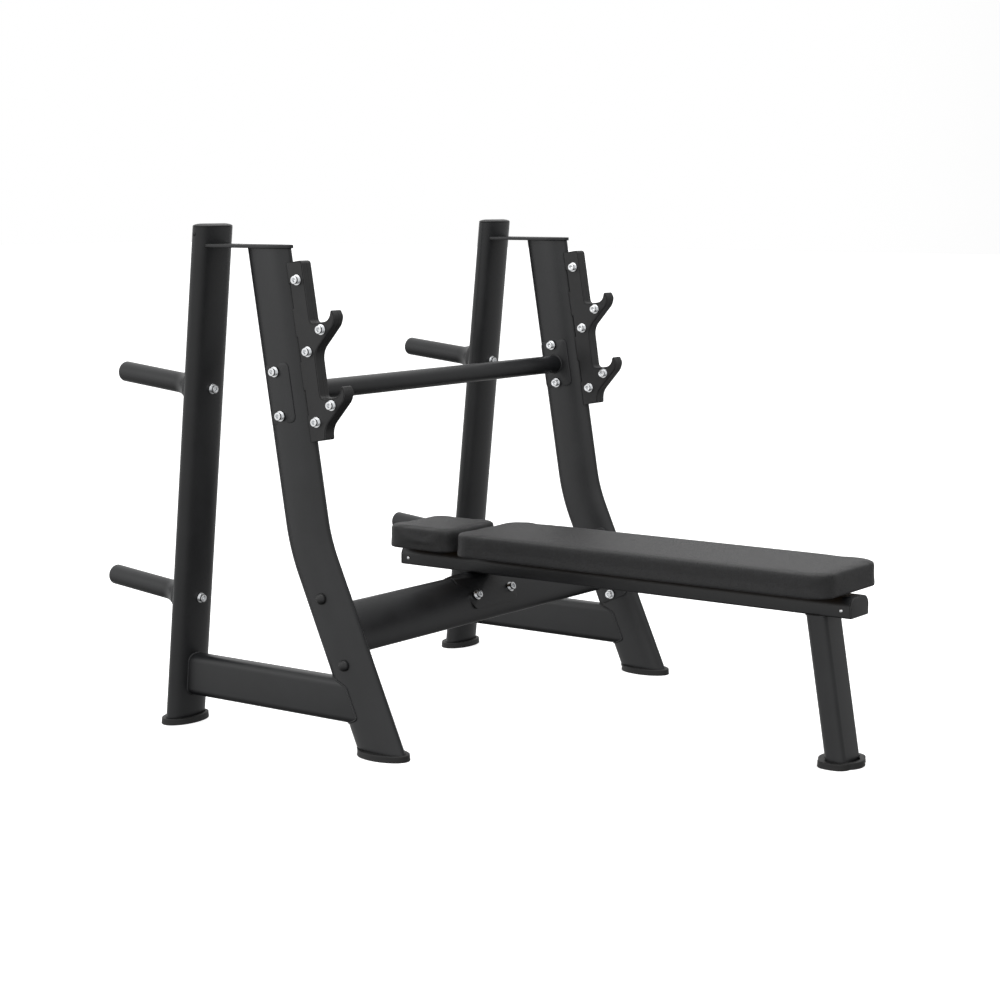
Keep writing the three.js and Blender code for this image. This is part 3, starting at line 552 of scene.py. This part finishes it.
bolt = {"shank": 6 * mm, "washer": 12 * mm, "washerThick": 2.5 * mm, "around": 60}
capHead = {"radius": 9 * mm, "high": 9.6 * mm, "edge": 0.9 * mm, "socket": 4.4 * mm, "deep": 5.5 * mm}
lowHead = {"radius": 10.5 * mm, "high": 6.4 * mm, "edge": 4.5 * mm, "socket": 3.6 * mm, "deep": 3.6 * mm}


def boltHead(seat, head=capHead):
    # washer, head and hexagonal socket: the socket's radius is flat / cos(t mod 60 - 30)
    w, thick, r, edge = bolt["washer"], bolt["washerThick"], head["radius"], head["edge"]
    top, rim = thick + head["high"], 0.4 * mm
    profile = np.concatenate([
        [[bolt["shank"], 0]],
        arc((w - rim, rim), rim, -90, 0, 3), arc((w - rim, thick - rim), rim, 0, 90, 3),
        [[r - 0.3 * mm, thick], [r - 0.25 * mm, thick + 0.2 * mm], [r, thick + 0.6 * mm]],
        arc((r - edge, top - edge), edge, 0, 90, 6)])
    rings = lathe(profile, bolt["around"])
    angle = np.linspace(0, 2 * np.pi, bolt["around"], endpoint=False)
    flat = head["socket"] / np.cos(np.mod(angle, np.pi / 3) - np.pi / 6)
    for share, level in ((1.08, top), (1.0, top - 0.4 * mm), (1.0, top - head["deep"]),
                         (0.15, top - head["deep"] - 0.8 * mm)):
        hexagon = [share * flat * np.cos(angle), share * flat * np.sin(angle), np.full(len(angle), level)]
        rings = np.concatenate([rings, np.stack(hexagon, 1)[None]])
    rings[..., 2] += seat
    return rings


def acrossY(rings, direction):  # local heights run along Y, towards direction
    return np.stack([rings[..., 0], direction * rings[..., 2], rings[..., 1]], 2)


def alongU(rings):  # local heights run along u
    return np.stack([rings[..., 2], rings[..., 1], rings[..., 0]], 2)


def shank(low, high):
    return lathe([[0, low], [bolt["shank"], low], [bolt["shank"], high], [0, high]], 24)


def throughBolt(name, spotLean, uv, y, outer, inner, side, node, head=capHead):
    # heads on both flanks, their seats outer and inner from the mid-plane y
    (x, z), lean = spotLean
    shift = np.array([uv[0] * mm, 0, uv[1] * mm])
    shells = [acrossY(boltHead(outer, head), side), acrossY(boltHead(inner), -side),
              acrossY(shank(-inner, outer), side)]
    shells = [place(s + shift, (x, z), lean, y) for s in shells]
    return fit(joinShells(name, shells, "bolt_chrome", sharp=40), node)


# pegs

peg = {"upper": 805 * mm, "lower": 307 * mm, "reach": 262 * mm, "radius": 24 * mm, "flare": 42 * mm,
       "flareLow": 30 * mm, "flareHigh": 77 * mm, "tipRound": 10 * mm, "base": 12 * mm}


def weightPeg(level, label, side):
    z, y = peg[level], side * sideY
    spotLean = ((rearX(z), z), rear["lean"])
    r, reach, tip = peg["radius"], peg["reach"], peg["tipRound"]
    t = np.linspace(0, 1, 13)
    flareR = r + (peg["flare"] - r) * (1 - np.sin(t * np.pi / 2)) ** 1.15
    flareH = peg["flareLow"] + (peg["flareHigh"] - peg["flareLow"]) * t
    profile = np.concatenate([[[0, peg["base"]], [peg["flare"], peg["base"]]],
                              np.stack([flareR, flareH], 1), arc((r - tip, reach - tip), tip, 0, 80, 8),
                              [[8 * mm, reach - 0.1 * mm], [0, reach]]])
    shell = lathe(profile, 72)
    shell = np.stack([-shell[..., 2], shell[..., 1], shell[..., 0]], 2)
    fit(joinShells(f"weightPeg_{level}_{label}", [place(shell, *spotLean, y)], "powder_coat"),
        f"weight_peg_{level}_{label}")
    a = np.linspace(0, 2 * np.pi, 90, endpoint=False)
    across = peg["flare"] * np.sin(a)
    ring = np.stack([-onRear(across), across, peg["flare"] * np.cos(a)], 1)
    weldBead(f"pegWeld_{level}_{label}", place(ring, *spotLean, y))
    head = alongU(boltHead(tube["short"] + 0.3 * mm))
    stem = alongU(shank(-60 * mm, tube["short"] + 0.5 * mm))
    fit(joinShells(f"pegBolt_{level}_{label}", [place(s, *spotLean, y) for s in (head, stem)],
                   "bolt_chrome", sharp=40), f"peg_bolt_{level}_{label}")


# bar hooks

hook = {"spot": 900 * mm, "half": 15.6 * mm, "pitch": 169.7, "seat": 50.0, "back": 57.5, "front": 103.0,
        "top": 191.0, "bottom": -213.0, "slotDeep": 4.0, "slotLong": 58.0, "slots": (-124, -4, 116),
        "edge": 1.8 * mm,
        "bolts": [(82, 149.4), (132.6, 31.5), (85.2, -12.2), (132.6, -138.2), (82, -170.4)]}


def hookArm(seat):
    f = hook["front"]
    return [[f + 1.5, seat - 66, 42], [168, seat - 14, 30], [176.5, seat + 4, 16], [168, seat + 27, 4],
            [157, seat - 3, 22], [f, seat - 1.5, 11]]


def hookCover(label, side, direction, which):
    b, f = hook["back"], hook["front"]
    corners = [[b, hook["bottom"], 2], [f - 2, hook["bottom"], 4],
               *hookArm(hook["seat"] - hook["pitch"]), *hookArm(hook["seat"]),
               [f, hook["top"], 9], [b, hook["top"], 2]]
    for v in reversed(hook["slots"]):
        low, high, deep = v - hook["slotLong"] / 2, v + hook["slotLong"] / 2, b + hook["slotDeep"]
        corners += [[b, high, 1], [deep, high, 1.5], [deep, low, 1.5], [b, low, 1]]
    ring = filletRing([[a * mm, c * mm, r * mm] for a, c, r in corners])
    # rings from the mid-plane out: a quarter-round edge, then a narrow groove round the face
    edge, top = hook["edge"], hook["half"]
    t = np.linspace(0, np.pi / 2, 5)
    inset = np.concatenate([[0.3, 0, 0, 0, 0], edge / mm * (1 - np.cos(t)), [2.3, 2.5, 3.2, 3.4]]) * mm
    level = np.concatenate([[0.15 * mm, 0.5 * mm, top - 8 * mm, top - 5 * mm, top - 3.5 * mm],
                            top - edge + edge * np.sin(t), top - np.array([0.1, 1.1, 1.1, 0]) * mm])
    share = np.clip((ring[:, 0] - 64 * mm) / (6 * mm), 0.05, 1)  # the back edge stays square
    flat = ring[None] - (outward(ring) * share[:, None])[None] * inset[:, None, None]
    # between the slots a thin lip runs back from the outer face onto the upright
    lip = np.clip((b + 2.5) * mm - ring[:, 0], 0, 1 * mm) / mm * np.clip(top - level, 0, 8 * mm)[:, None] * 1.15
    depth = direction * np.broadcast_to(level[:, None], lip.shape)
    local = np.stack([flat[..., 0] - lip, depth, flat[..., 1]], 2)
    spotLean = frontSpot(hook["spot"])
    shell = place(local, *spotLean, side * sideY)
    fit(joinShells(f"hookCover{which}_{label}", [shell], "hook_urethane"),
        f"hook_cover_{which.lower()}_{label}")


def hookSet(label, side):
    hookCover(label, side, side, "Outer")
    hookCover(label, side, -side, "Inner")
    seat = hook["half"] + 0.3 * mm
    for i, uv in enumerate(hook["bolts"], 1):
        throughBolt(f"hookBolt_{i}_{label}", frontSpot(hook["spot"]), uv, side * sideY, seat, seat, side,
                    f"hook_bolt_{i}_{label}")


# crossbars

upperBar = {"z": 806 * mm, "radius": 23 * mm, "offset": -10.8, "spread": 100.4,
            "flange": (88 * mm, 122 * mm), "thick": 3 * mm, "plate": (78 * mm, 136 * mm), "backing": 2.2 * mm}
lowerBar = {"z": mid("lower_crossbar").z, "long": 60 * mm, "short": 26 * mm, "spread": 159,
            "flange": (92 * mm, 190 * mm), "thick": 5 * mm}
cover = {"radius": 13 * mm, "skirt": 3.4 * mm, "dome": 9 * mm, "sunk": 1.2 * mm}


def barShell(ring, spotLean, offset):
    # the section (u, v) run along Y into both flanges
    (x, z), lean = spotLean
    ends = np.array([-1, 1]) * (sideY - tube["short"] + 1 * mm)
    local = np.stack([np.broadcast_to(ring[:, 0] + offset, (2, len(ring))),
                      np.broadcast_to(ends[:, None], (2, len(ring))),
                      np.broadcast_to(ring[:, 1], (2, len(ring)))], 2)
    return place(local, (x, z), lean)


def barWeld(name, ring, spotLean, offset, side, thick):
    u = ring[:, 0] + offset
    face = sideY - (tube["short"] + thick) * np.sqrt(1 - (u / (tube["long"] + thick)) ** 2)
    local = np.stack([u, side * face, ring[:, 1]], 1)
    (x, z), lean = spotLean
    weldBead(name, place(local, (x, z), lean))


def crossbars():
    spotLean = frontSpot(upperBar["z"])
    ring = ellipseRing(upperBar["radius"], upperBar["radius"])
    offset = upperBar["offset"] * mm
    shells = [barShell(ring, spotLean, offset)]
    for label, side in sides.items():
        shells.append(flankPlate(side, True, spotLean, offset, upperBar["flange"], upperBar["thick"],
                                 0.3 * mm))
        barWeld(f"upperBarWeld_{label}", ring, spotLean, offset, side, upperBar["thick"])
        for i, end in enumerate((-1, 1), 1):
            uv = (upperBar["offset"], end * upperBar["spread"] / 2)
            throughBolt(f"upperBarBolt_{i}_{label}", spotLean, uv, side * sideY,
                        tube["short"] + upperBar["backing"] + 0.3 * mm,
                        tube["short"] + upperBar["thick"] + 0.6 * mm, side, f"upper_crossbar_bolt_{i}_{label}")
    fit(joinShells("upperCrossbar", shells, "powder_coat"), "upper_crossbar")
    spotLean = frontSpot(lowerBar["z"])
    ring = ellipseRing(lowerBar["short"], lowerBar["long"], 128)
    shells = [barShell(ring, spotLean, 0)]
    for label, side in sides.items():
        shells.append(flankPlate(side, True, spotLean, 0, lowerBar["flange"], lowerBar["thick"],
                                 0.3 * mm, 14 * mm))
        barWeld(f"lowerBarWeld_{label}", ring, spotLean, 0, side, lowerBar["thick"])
        for i, end in enumerate((-1, 1), 1):
            uv = (0, end * lowerBar["spread"] / 2)
            throughBolt(f"lowerBarBolt_{i}_{label}", spotLean, uv, side * sideY,
                        tube["short"] + 0.3 * mm, tube["short"] + lowerBar["thick"] + 0.6 * mm, side,
                        f"lower_crossbar_bolt_{i}_{label}", lowHead)
            boltCover(f"boltCover_{i}_{label}", spotLean, uv, side)
    fit(joinShells("lowerCrossbar", shells, "powder_coat"), "lower_crossbar")


def boltCover(name, spotLean, uv, side):
    # a snap-on dome over the outer head: a quarter ellipse turned about the bolt, over a short skirt
    r, seat = cover["radius"], tube["short"] - cover["sunk"]
    t = np.radians(np.linspace(0, 90, 10))
    skirt = [[0, seat], [r, seat], [r, seat + cover["skirt"]]]
    dome = np.stack([r * np.cos(t), seat + cover["skirt"] + cover["dome"] * np.sin(t)], 1)
    shell = acrossY(lathe(np.concatenate([skirt, dome]), 40), side) + np.array([uv[0] * mm, 0, uv[1] * mm])
    fit(joinShells(name, [place(shell, *spotLean, side * sideY)], "cap_plastic"))


# bench frame

beam = {"bottom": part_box("bench_beam")[0].z, "height": 46 * mm, "width": 84 * mm, "topRound": 23 * mm,
        "lowRound": 4 * mm, "lip": 5 * mm, "brackets": (-250, 56, 459, 800), "screwZ": 17 * mm}
beam["top"] = beam["bottom"] + beam["height"]


def beamRing():
    w, t = beam["width"] / 2, beam["height"]
    low, high = beam["lowRound"], beam["topRound"]
    return filletRing([[w, 0, low], [w, t, high], [-w, t, high], [-w, 0, low]], 0.5 * mm)


def alongX(ring, xs, insets):
    # the ring (y, z) at each x, moved inwards by its inset
    normal = outward(ring)
    flat = ring[None] - normal[None] * np.asarray(insets)[:, None, None]
    return np.concatenate([np.broadcast_to(np.asarray(xs)[:, None, None], (len(xs), len(ring), 1)),
                           flat + [0, beam["bottom"]]], 2)


def benchBeam():
    low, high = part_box("bench_beam")
    ring = beamRing()
    r = 0.6 * mm
    shells = [alongX(ring, [low.x, low.x + r, high.x - r, high.x], [r, 0, 0, r])]
    for x in beam["brackets"]:
        rings = slabRings(rectRing(40 * mm, 90 * mm, 4 * mm, 1 * mm), 6.6 * mm, 0.8 * mm)
        shells.append(rings + [at(x), 0, beam["top"] - 0.6 * mm])
    fit(joinShells("benchBeam", shells, "powder_coat"), "bench_beam")
    t = np.radians(np.linspace(0, 90, 7))
    for end, name in ((-1, "head"), (1, "foot")):
        node = f"beam_cap_{name}"
        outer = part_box(node)[0].x if end < 0 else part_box(node)[1].x
        big = 2.6 * mm  # the lip's rounded outer edge
        xs = [outer - end * (beam["lip"] + 25 * mm), outer - end * beam["lip"], outer - end * beam["lip"]]
        insets = [3.4 * mm, 3.4 * mm, 0.2 * mm]
        xs += [outer - end * big * (1 - math.sin(a)) for a in t]
        insets += [big * (1 - math.cos(a)) for a in t]
        fit(joinShells(f"beamCap_{name}", [alongX(ring, xs, insets)], "cap_plastic"), node)
        for label, side in sides.items():
            spot = (outer - end * 25 * mm, side * beam["width"] / 2, beam["bottom"] + beam["screwZ"])
            screwHead(f"capScrew_{name}_{label}", spot, side)


def screwHead(name, spot, side, finish="bolt_chrome", radius=4.2 * mm):
    # a pan head with a cross recess pressed in as a shallow four-lobed dimple
    t = np.radians(np.linspace(0, 70, 6))
    pan = np.stack([radius * np.cos(t), 0.8 * mm + 1.6 * mm * np.sin(t)], 1)
    rings = lathe(np.concatenate([[[0, -0.6 * mm], [radius, -0.6 * mm], [radius, 0.8 * mm]], pan]), 40)
    angle = np.linspace(0, 2 * np.pi, 40, endpoint=False)
    lobes = radius * (0.26 + 0.2 * np.abs(np.cos(2 * angle)) ** 3)
    for share, level in ((1.0, 2.35 * mm), (0.6, 1.4 * mm), (0.1, 1.2 * mm)):
        dimple = [share * lobes * np.cos(angle), share * lobes * np.sin(angle), np.full(40, level)]
        rings = np.concatenate([rings, np.stack(dimple, 1)[None]])
    shell = acrossY(rings, side) + np.array(spot)
    fit(joinShells(name, [shell], finish, sharp=40))


legSize = {"footX": 861.2, "lean": 9.54, "length": 50 * mm, "width": 96 * mm, "corner": 20 * mm}


def legX(z):
    return at(legSize["footX"]) - z * math.tan(math.radians(legSize["lean"]))


def benchLeg():
    lean = math.radians(legSize["lean"])
    ring = rectRing(legSize["length"], legSize["width"], legSize["corner"], 0.8 * mm)
    stations = np.array([[legX(z), z, lean, 0] for z in (tube["bottom"], beam["bottom"] + 0.5 * mm)])
    fit(joinShells("benchLeg", [sweep(ring, stations, 0)], "powder_coat"), "bench_leg")
    half = beam["width"] / 2 - 2 * mm  # the seam stays under the beam
    seam = np.column_stack([ring[:, 0] / math.cos(lean) + legX(beam["bottom"]),
                            np.clip(ring[:, 1], -half, half), np.full(len(ring), beam["bottom"])])
    weldBead("legWeld", seam)
    low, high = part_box("leg_foot")
    outer = rectRing(high.x - low.x, high.y - low.y, 28 * mm, 0.8 * mm)
    inner = rectRing(legSize["length"] / math.cos(lean), legSize["width"], legSize["corner"], 0.8 * mm)
    t = np.linspace(0, 1, 120, endpoint=False)
    outer, inner = (evenRing(r, t) for r in (outer, inner))
    shell = footRings(outer, inner, np.array([mid("leg_foot").x, 0]), np.array([legX(15 * mm), 0]))
    fit(joinShells("legFoot", [shell], "foot_rubber"), "leg_foot")


def evenRing(ring, share):
    # the ring resampled by its polar angle, so that rings of different shapes line up point for point;
    # the radius runs straight from point to point, which bows long straight sides outwards
    angle = np.arctan2(ring[:, 1], ring[:, 0])
    order = np.argsort(angle)
    want = share * 2 * np.pi - np.pi
    radius = np.interp(want, angle[order], np.linalg.norm(ring, axis=1)[order], period=2 * np.pi)
    return np.stack([radius * np.cos(want), radius * np.sin(want)], 1)


saddle = {"thick": 4 * mm, "topHalf": 122 * mm, "lowHalf": 84 * mm, "drop": 31 * mm, "corner": 16 * mm,
          "over": 8 * mm, "bolts": 138 * mm}


def saddleBracket():
    # the plate's outline (y, s) wrapped on the crossbar's ellipse: s is the angle from its front, scaled
    spotLean = frontSpot(lowerBar["z"])
    scale = 55 * mm  # outline units per radian, so that its corners stay round
    low = -math.asin(saddle["drop"] / lowerBar["long"]) * scale
    high = (math.pi / 2 + math.asin(saddle["over"] / lowerBar["short"])) * scale
    tw, lw, c = saddle["topHalf"], saddle["lowHalf"], saddle["corner"]
    knee = 0.95 * scale
    ring = filletRing([[lw, low, c], [tw, knee, 20 * mm], [tw, high, 3 * mm], [-tw, high, 3 * mm],
                       [-tw, knee, 20 * mm], [-lw, low, c]], 1 * mm)
    rings = slabRings(ring, saddle["thick"], 0.9 * mm, crown=24)
    y, angle, h = rings[..., 0], rings[..., 1] / scale, rings[..., 2] + 0.3 * mm
    local = np.stack([(lowerBar["short"] + h) * np.cos(angle), y, (lowerBar["long"] + h) * np.sin(angle)], 2)
    shell = place(local, *spotLean)
    shell[..., 2] = np.minimum(shell[..., 2], beam["bottom"] + 0.2 * mm)
    fit(joinShells("saddleBracket", [shell], "powder_coat"), "saddle_bracket")
    for label, side in sides.items():
        seat = lowerBar["short"] + saddle["thick"] + 0.6 * mm
        shells = [alongU(boltHead(seat)), alongU(shank(5 * mm, seat + 0.4 * mm))]
        y = side * saddle["bolts"] / 2
        shells = [place(s, *spotLean, y) for s in shells]
        fit(joinShells(f"saddleBolt_{label}", shells, "bolt_chrome", sharp=40), f"saddle_bolt_{label}")


# pads

pad = {"edge": 7 * mm, "swell": 2.5 * mm, "voxel": 5 * mm, "pressure": 4.0, "frames": 20, "border": 16 * mm,
       "stillUnder": 2 * mm, "freeOver": 20 * mm, "spill": 2 * mm}


def padBoard(node, name):
    low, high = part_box(node)
    size = high - low
    # the cover folds under the board, so only its middle shows, inside a border
    width, height = size.x - 2 * pad["border"], size.y - 2 * pad["border"]
    rings = slabRings(rectRing(width, height, 24 * mm, 1 * mm), size.z, 0.8 * mm)
    centre = (low + high) / 2
    fit(joinShells(name, [rings + [centre.x, centre.y, low.z]], "pad_board"), node)


def upholstery(node, name, corner):
    # a block with rounded edges and a dense grid, swelled by cloth pressure and held to a small movement
    low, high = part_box(node)
    size, centre = high - low, (low + high) / 2
    shrink = 1.2 * mm
    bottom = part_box(f"{node}_board")[0].z + 0.25 * mm
    height = high.z - bottom - ((1.5 * mm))
    ring = rectRing(size.x - 2 * shrink, size.y - 2 * shrink, corner, 1.2 * mm)
    rings = slabRings(ring, height, pad["edge"], 6, under=2.5 * mm)
    piece = joinShells(name, [rings + [centre.x, centre.y, bottom]], "pad_vinyl", sharp=180)
    swell(piece, low, high)
    fit(piece, node)


def applyModifiers(piece):
    graph = bpy.context.evaluated_depsgraph_get()
    mesh = bpy.data.meshes.new_from_object(piece.evaluated_get(graph))
    old = piece.data
    piece.modifiers.clear()
    piece.data = mesh
    bpy.data.meshes.remove(old)


def coordinates(mesh):
    places = np.empty(len(mesh.vertices) * 3, np.float32)
    mesh.vertices.foreach_get("co", places)
    return places.reshape(-1, 3)


def swell(piece, low, high):
    remesh = piece.modifiers.new("remesh", "REMESH")
    remesh.mode = "VOXEL"
    remesh.voxel_size = pad["voxel"]
    applyModifiers(piece)
    before = coordinates(piece.data).copy()
    cloth = piece.modifiers.new("cloth", "CLOTH")
    cloth.settings.use_pressure = True
    cloth.settings.uniform_pressure_force = pad["pressure"]
    cloth.settings.effector_weights.gravity = 0
    cloth.settings.tension_stiffness = 40
    cloth.settings.compression_stiffness = 40
    cloth.point_cache.frame_start, cloth.point_cache.frame_end = 1, pad["frames"]
    for number in range(1, pad["frames"] + 1):
        bpy.context.scene.frame_set(number)
    applyModifiers(piece)
    bpy.context.scene.frame_set(1)
    after = coordinates(piece.data)
    move = after - before
    length = np.linalg.norm(move, axis=1, keepdims=True)
    move *= 0.5 * np.minimum(1, 2 * pad["swell"] / np.maximum(length, 1e-9))
    # the underside stays flat on its board, and the rest is free from a little above it
    free = np.clip((before[:, 2:] - low.z - pad["stillUnder"]) / pad["freeOver"], 0, 1)
    after = before + move * free
    spill = pad["spill"]
    after = np.clip(after, [low.x - spill, low.y - spill, before[:, 2].min()],
                    [high.x + spill, high.y + spill, high.z + spill])
    piece.data.vertices.foreach_set("co", after.astype(np.float32).ravel())
    finer = piece.modifiers.new("finer", "SUBSURF")
    finer.levels = finer.render_levels = 1
    applyModifiers(piece)
    piece.data.shade_smooth()


# build

for label, side in sides.items():
    sideFrame(label, side)
    for level in ("upper", "lower"):
        weightPeg(level, label, side)
    hookSet(label, side)
    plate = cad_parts[f"hook_plate_{label}"]
    plate.data.materials.clear()
    plate.data.materials.append(finishes["powder_coat"])
print("side frames ready")
crossbars()
benchBeam()
benchLeg()
saddleBracket()
padBoard("main_pad_board", "mainPadBoard")
padBoard("head_pad_board", "headPadBoard")
print("bench frame ready")
upholstery("main_pad", "mainPad", 50 * mm)
upholstery("head_pad", "headPad", 36 * mm)
print("pads ready")


# floor and lights

def stageMaterial():
    # painted studio floor: pale and matt, with a very faint mottle
    material, tree, shader = newMaterial("paleStudioFloor", rough=0.9)
    place = addNode(tree, "ShaderNodeTexCoord").outputs["Object"]
    mottle = addNode(tree, "ShaderNodeTexNoise", {"Scale": 0.6, "Detail": 2.0}, Vector=place)
    color = ramp(tree, mottle.outputs["Fac"], [(0.3, hexColor("f4f4f4")), (0.7, hexColor("f8f8f8"))])
    tree.links.new(shader.inputs["Base Color"], color)
    tree.links.new(shader.inputs["Emission Color"], color)
    shader.inputs["Emission Strength"].default_value = 0.6
    return material


floorMesh = bpy.data.meshes.new("floor")
half = 40.0
floorMesh.from_pydata([(-half, -half, 0), (half, -half, 0), (half, half, 0), (-half, half, 0)], [],
                      [(0, 1, 2, 3)])
floor = bpy.data.objects.new("floor", floorMesh)
floor.location = (0, 0, -0.2 * mm)
bpy.context.collection.objects.link(floor)
floorMesh.materials.append(stageMaterial())
floor.visible_diffuse = floor.visible_glossy = False  # a light table: bright, but no bounce from below

world = bpy.data.worlds.new("studio")
world.use_nodes = True
backdrop = world.node_tree.nodes["Background"]
backdrop.inputs["Color"].default_value = hexColor("ffffff")
# white all round, dimmer towards the foot end's far side and dark below the floor
tree = world.node_tree
sky = addNode(tree, "ShaderNodeTexCoord").outputs["Generated"]
toward = addNode(tree, "ShaderNodeVectorMath", {"operation": "DOT_PRODUCT"})
tree.links.new(toward.inputs[0], sky)
toward.inputs[1].default_value = (0.707, 0.707, 0)
split = addNode(tree, "ShaderNodeSeparateXYZ", Vector=sky).outputs
across = addNode(tree, "ShaderNodeMapRange", {"From Min": 0.3, "From Max": 0.9, "To Min": 1.0, "To Max": 0.5,
                 "interpolation_type": "SMOOTHSTEP"}, Value=toward.outputs["Value"]).outputs["Result"]
below = addNode(tree, "ShaderNodeMapRange", {"From Min": -0.75, "From Max": -0.12, "To Min": 0.1,
                "To Max": 1.0}, Value=split["Z"]).outputs["Result"]
blend = addNode(tree, "ShaderNodeMath", {"operation": "MULTIPLY"})
tree.links.new(blend.inputs[0], across)
tree.links.new(blend.inputs[1], below)
tree.links.new(backdrop.inputs["Strength"], blend.outputs[0])
bpy.context.scene.world = world
bpy.context.scene.view_settings.view_transform = "Standard"


def areaLight(name, spot, target, size, power):
    light = bpy.data.lights.new(name, "AREA")
    light.shape, light.size, light.size_y, light.energy = "RECTANGLE", size[0], size[1], power
    lamp = bpy.data.objects.new(name, light)
    lamp.location = spot
    lamp.rotation_euler = (Vector(target) - Vector(spot)).to_track_quat("-Z", "Y").to_euler()
    bpy.context.collection.objects.link(lamp)


areaLight("overhead", (0.2, 0.0, 4.2), (0, 0, 0), (4.5, 4.5), 90)
areaLight("leftFront", (-2.4, -4.2, 2.4), (0, 0, 0.5), (2.4, 2.4), 20)

print("scene ready")
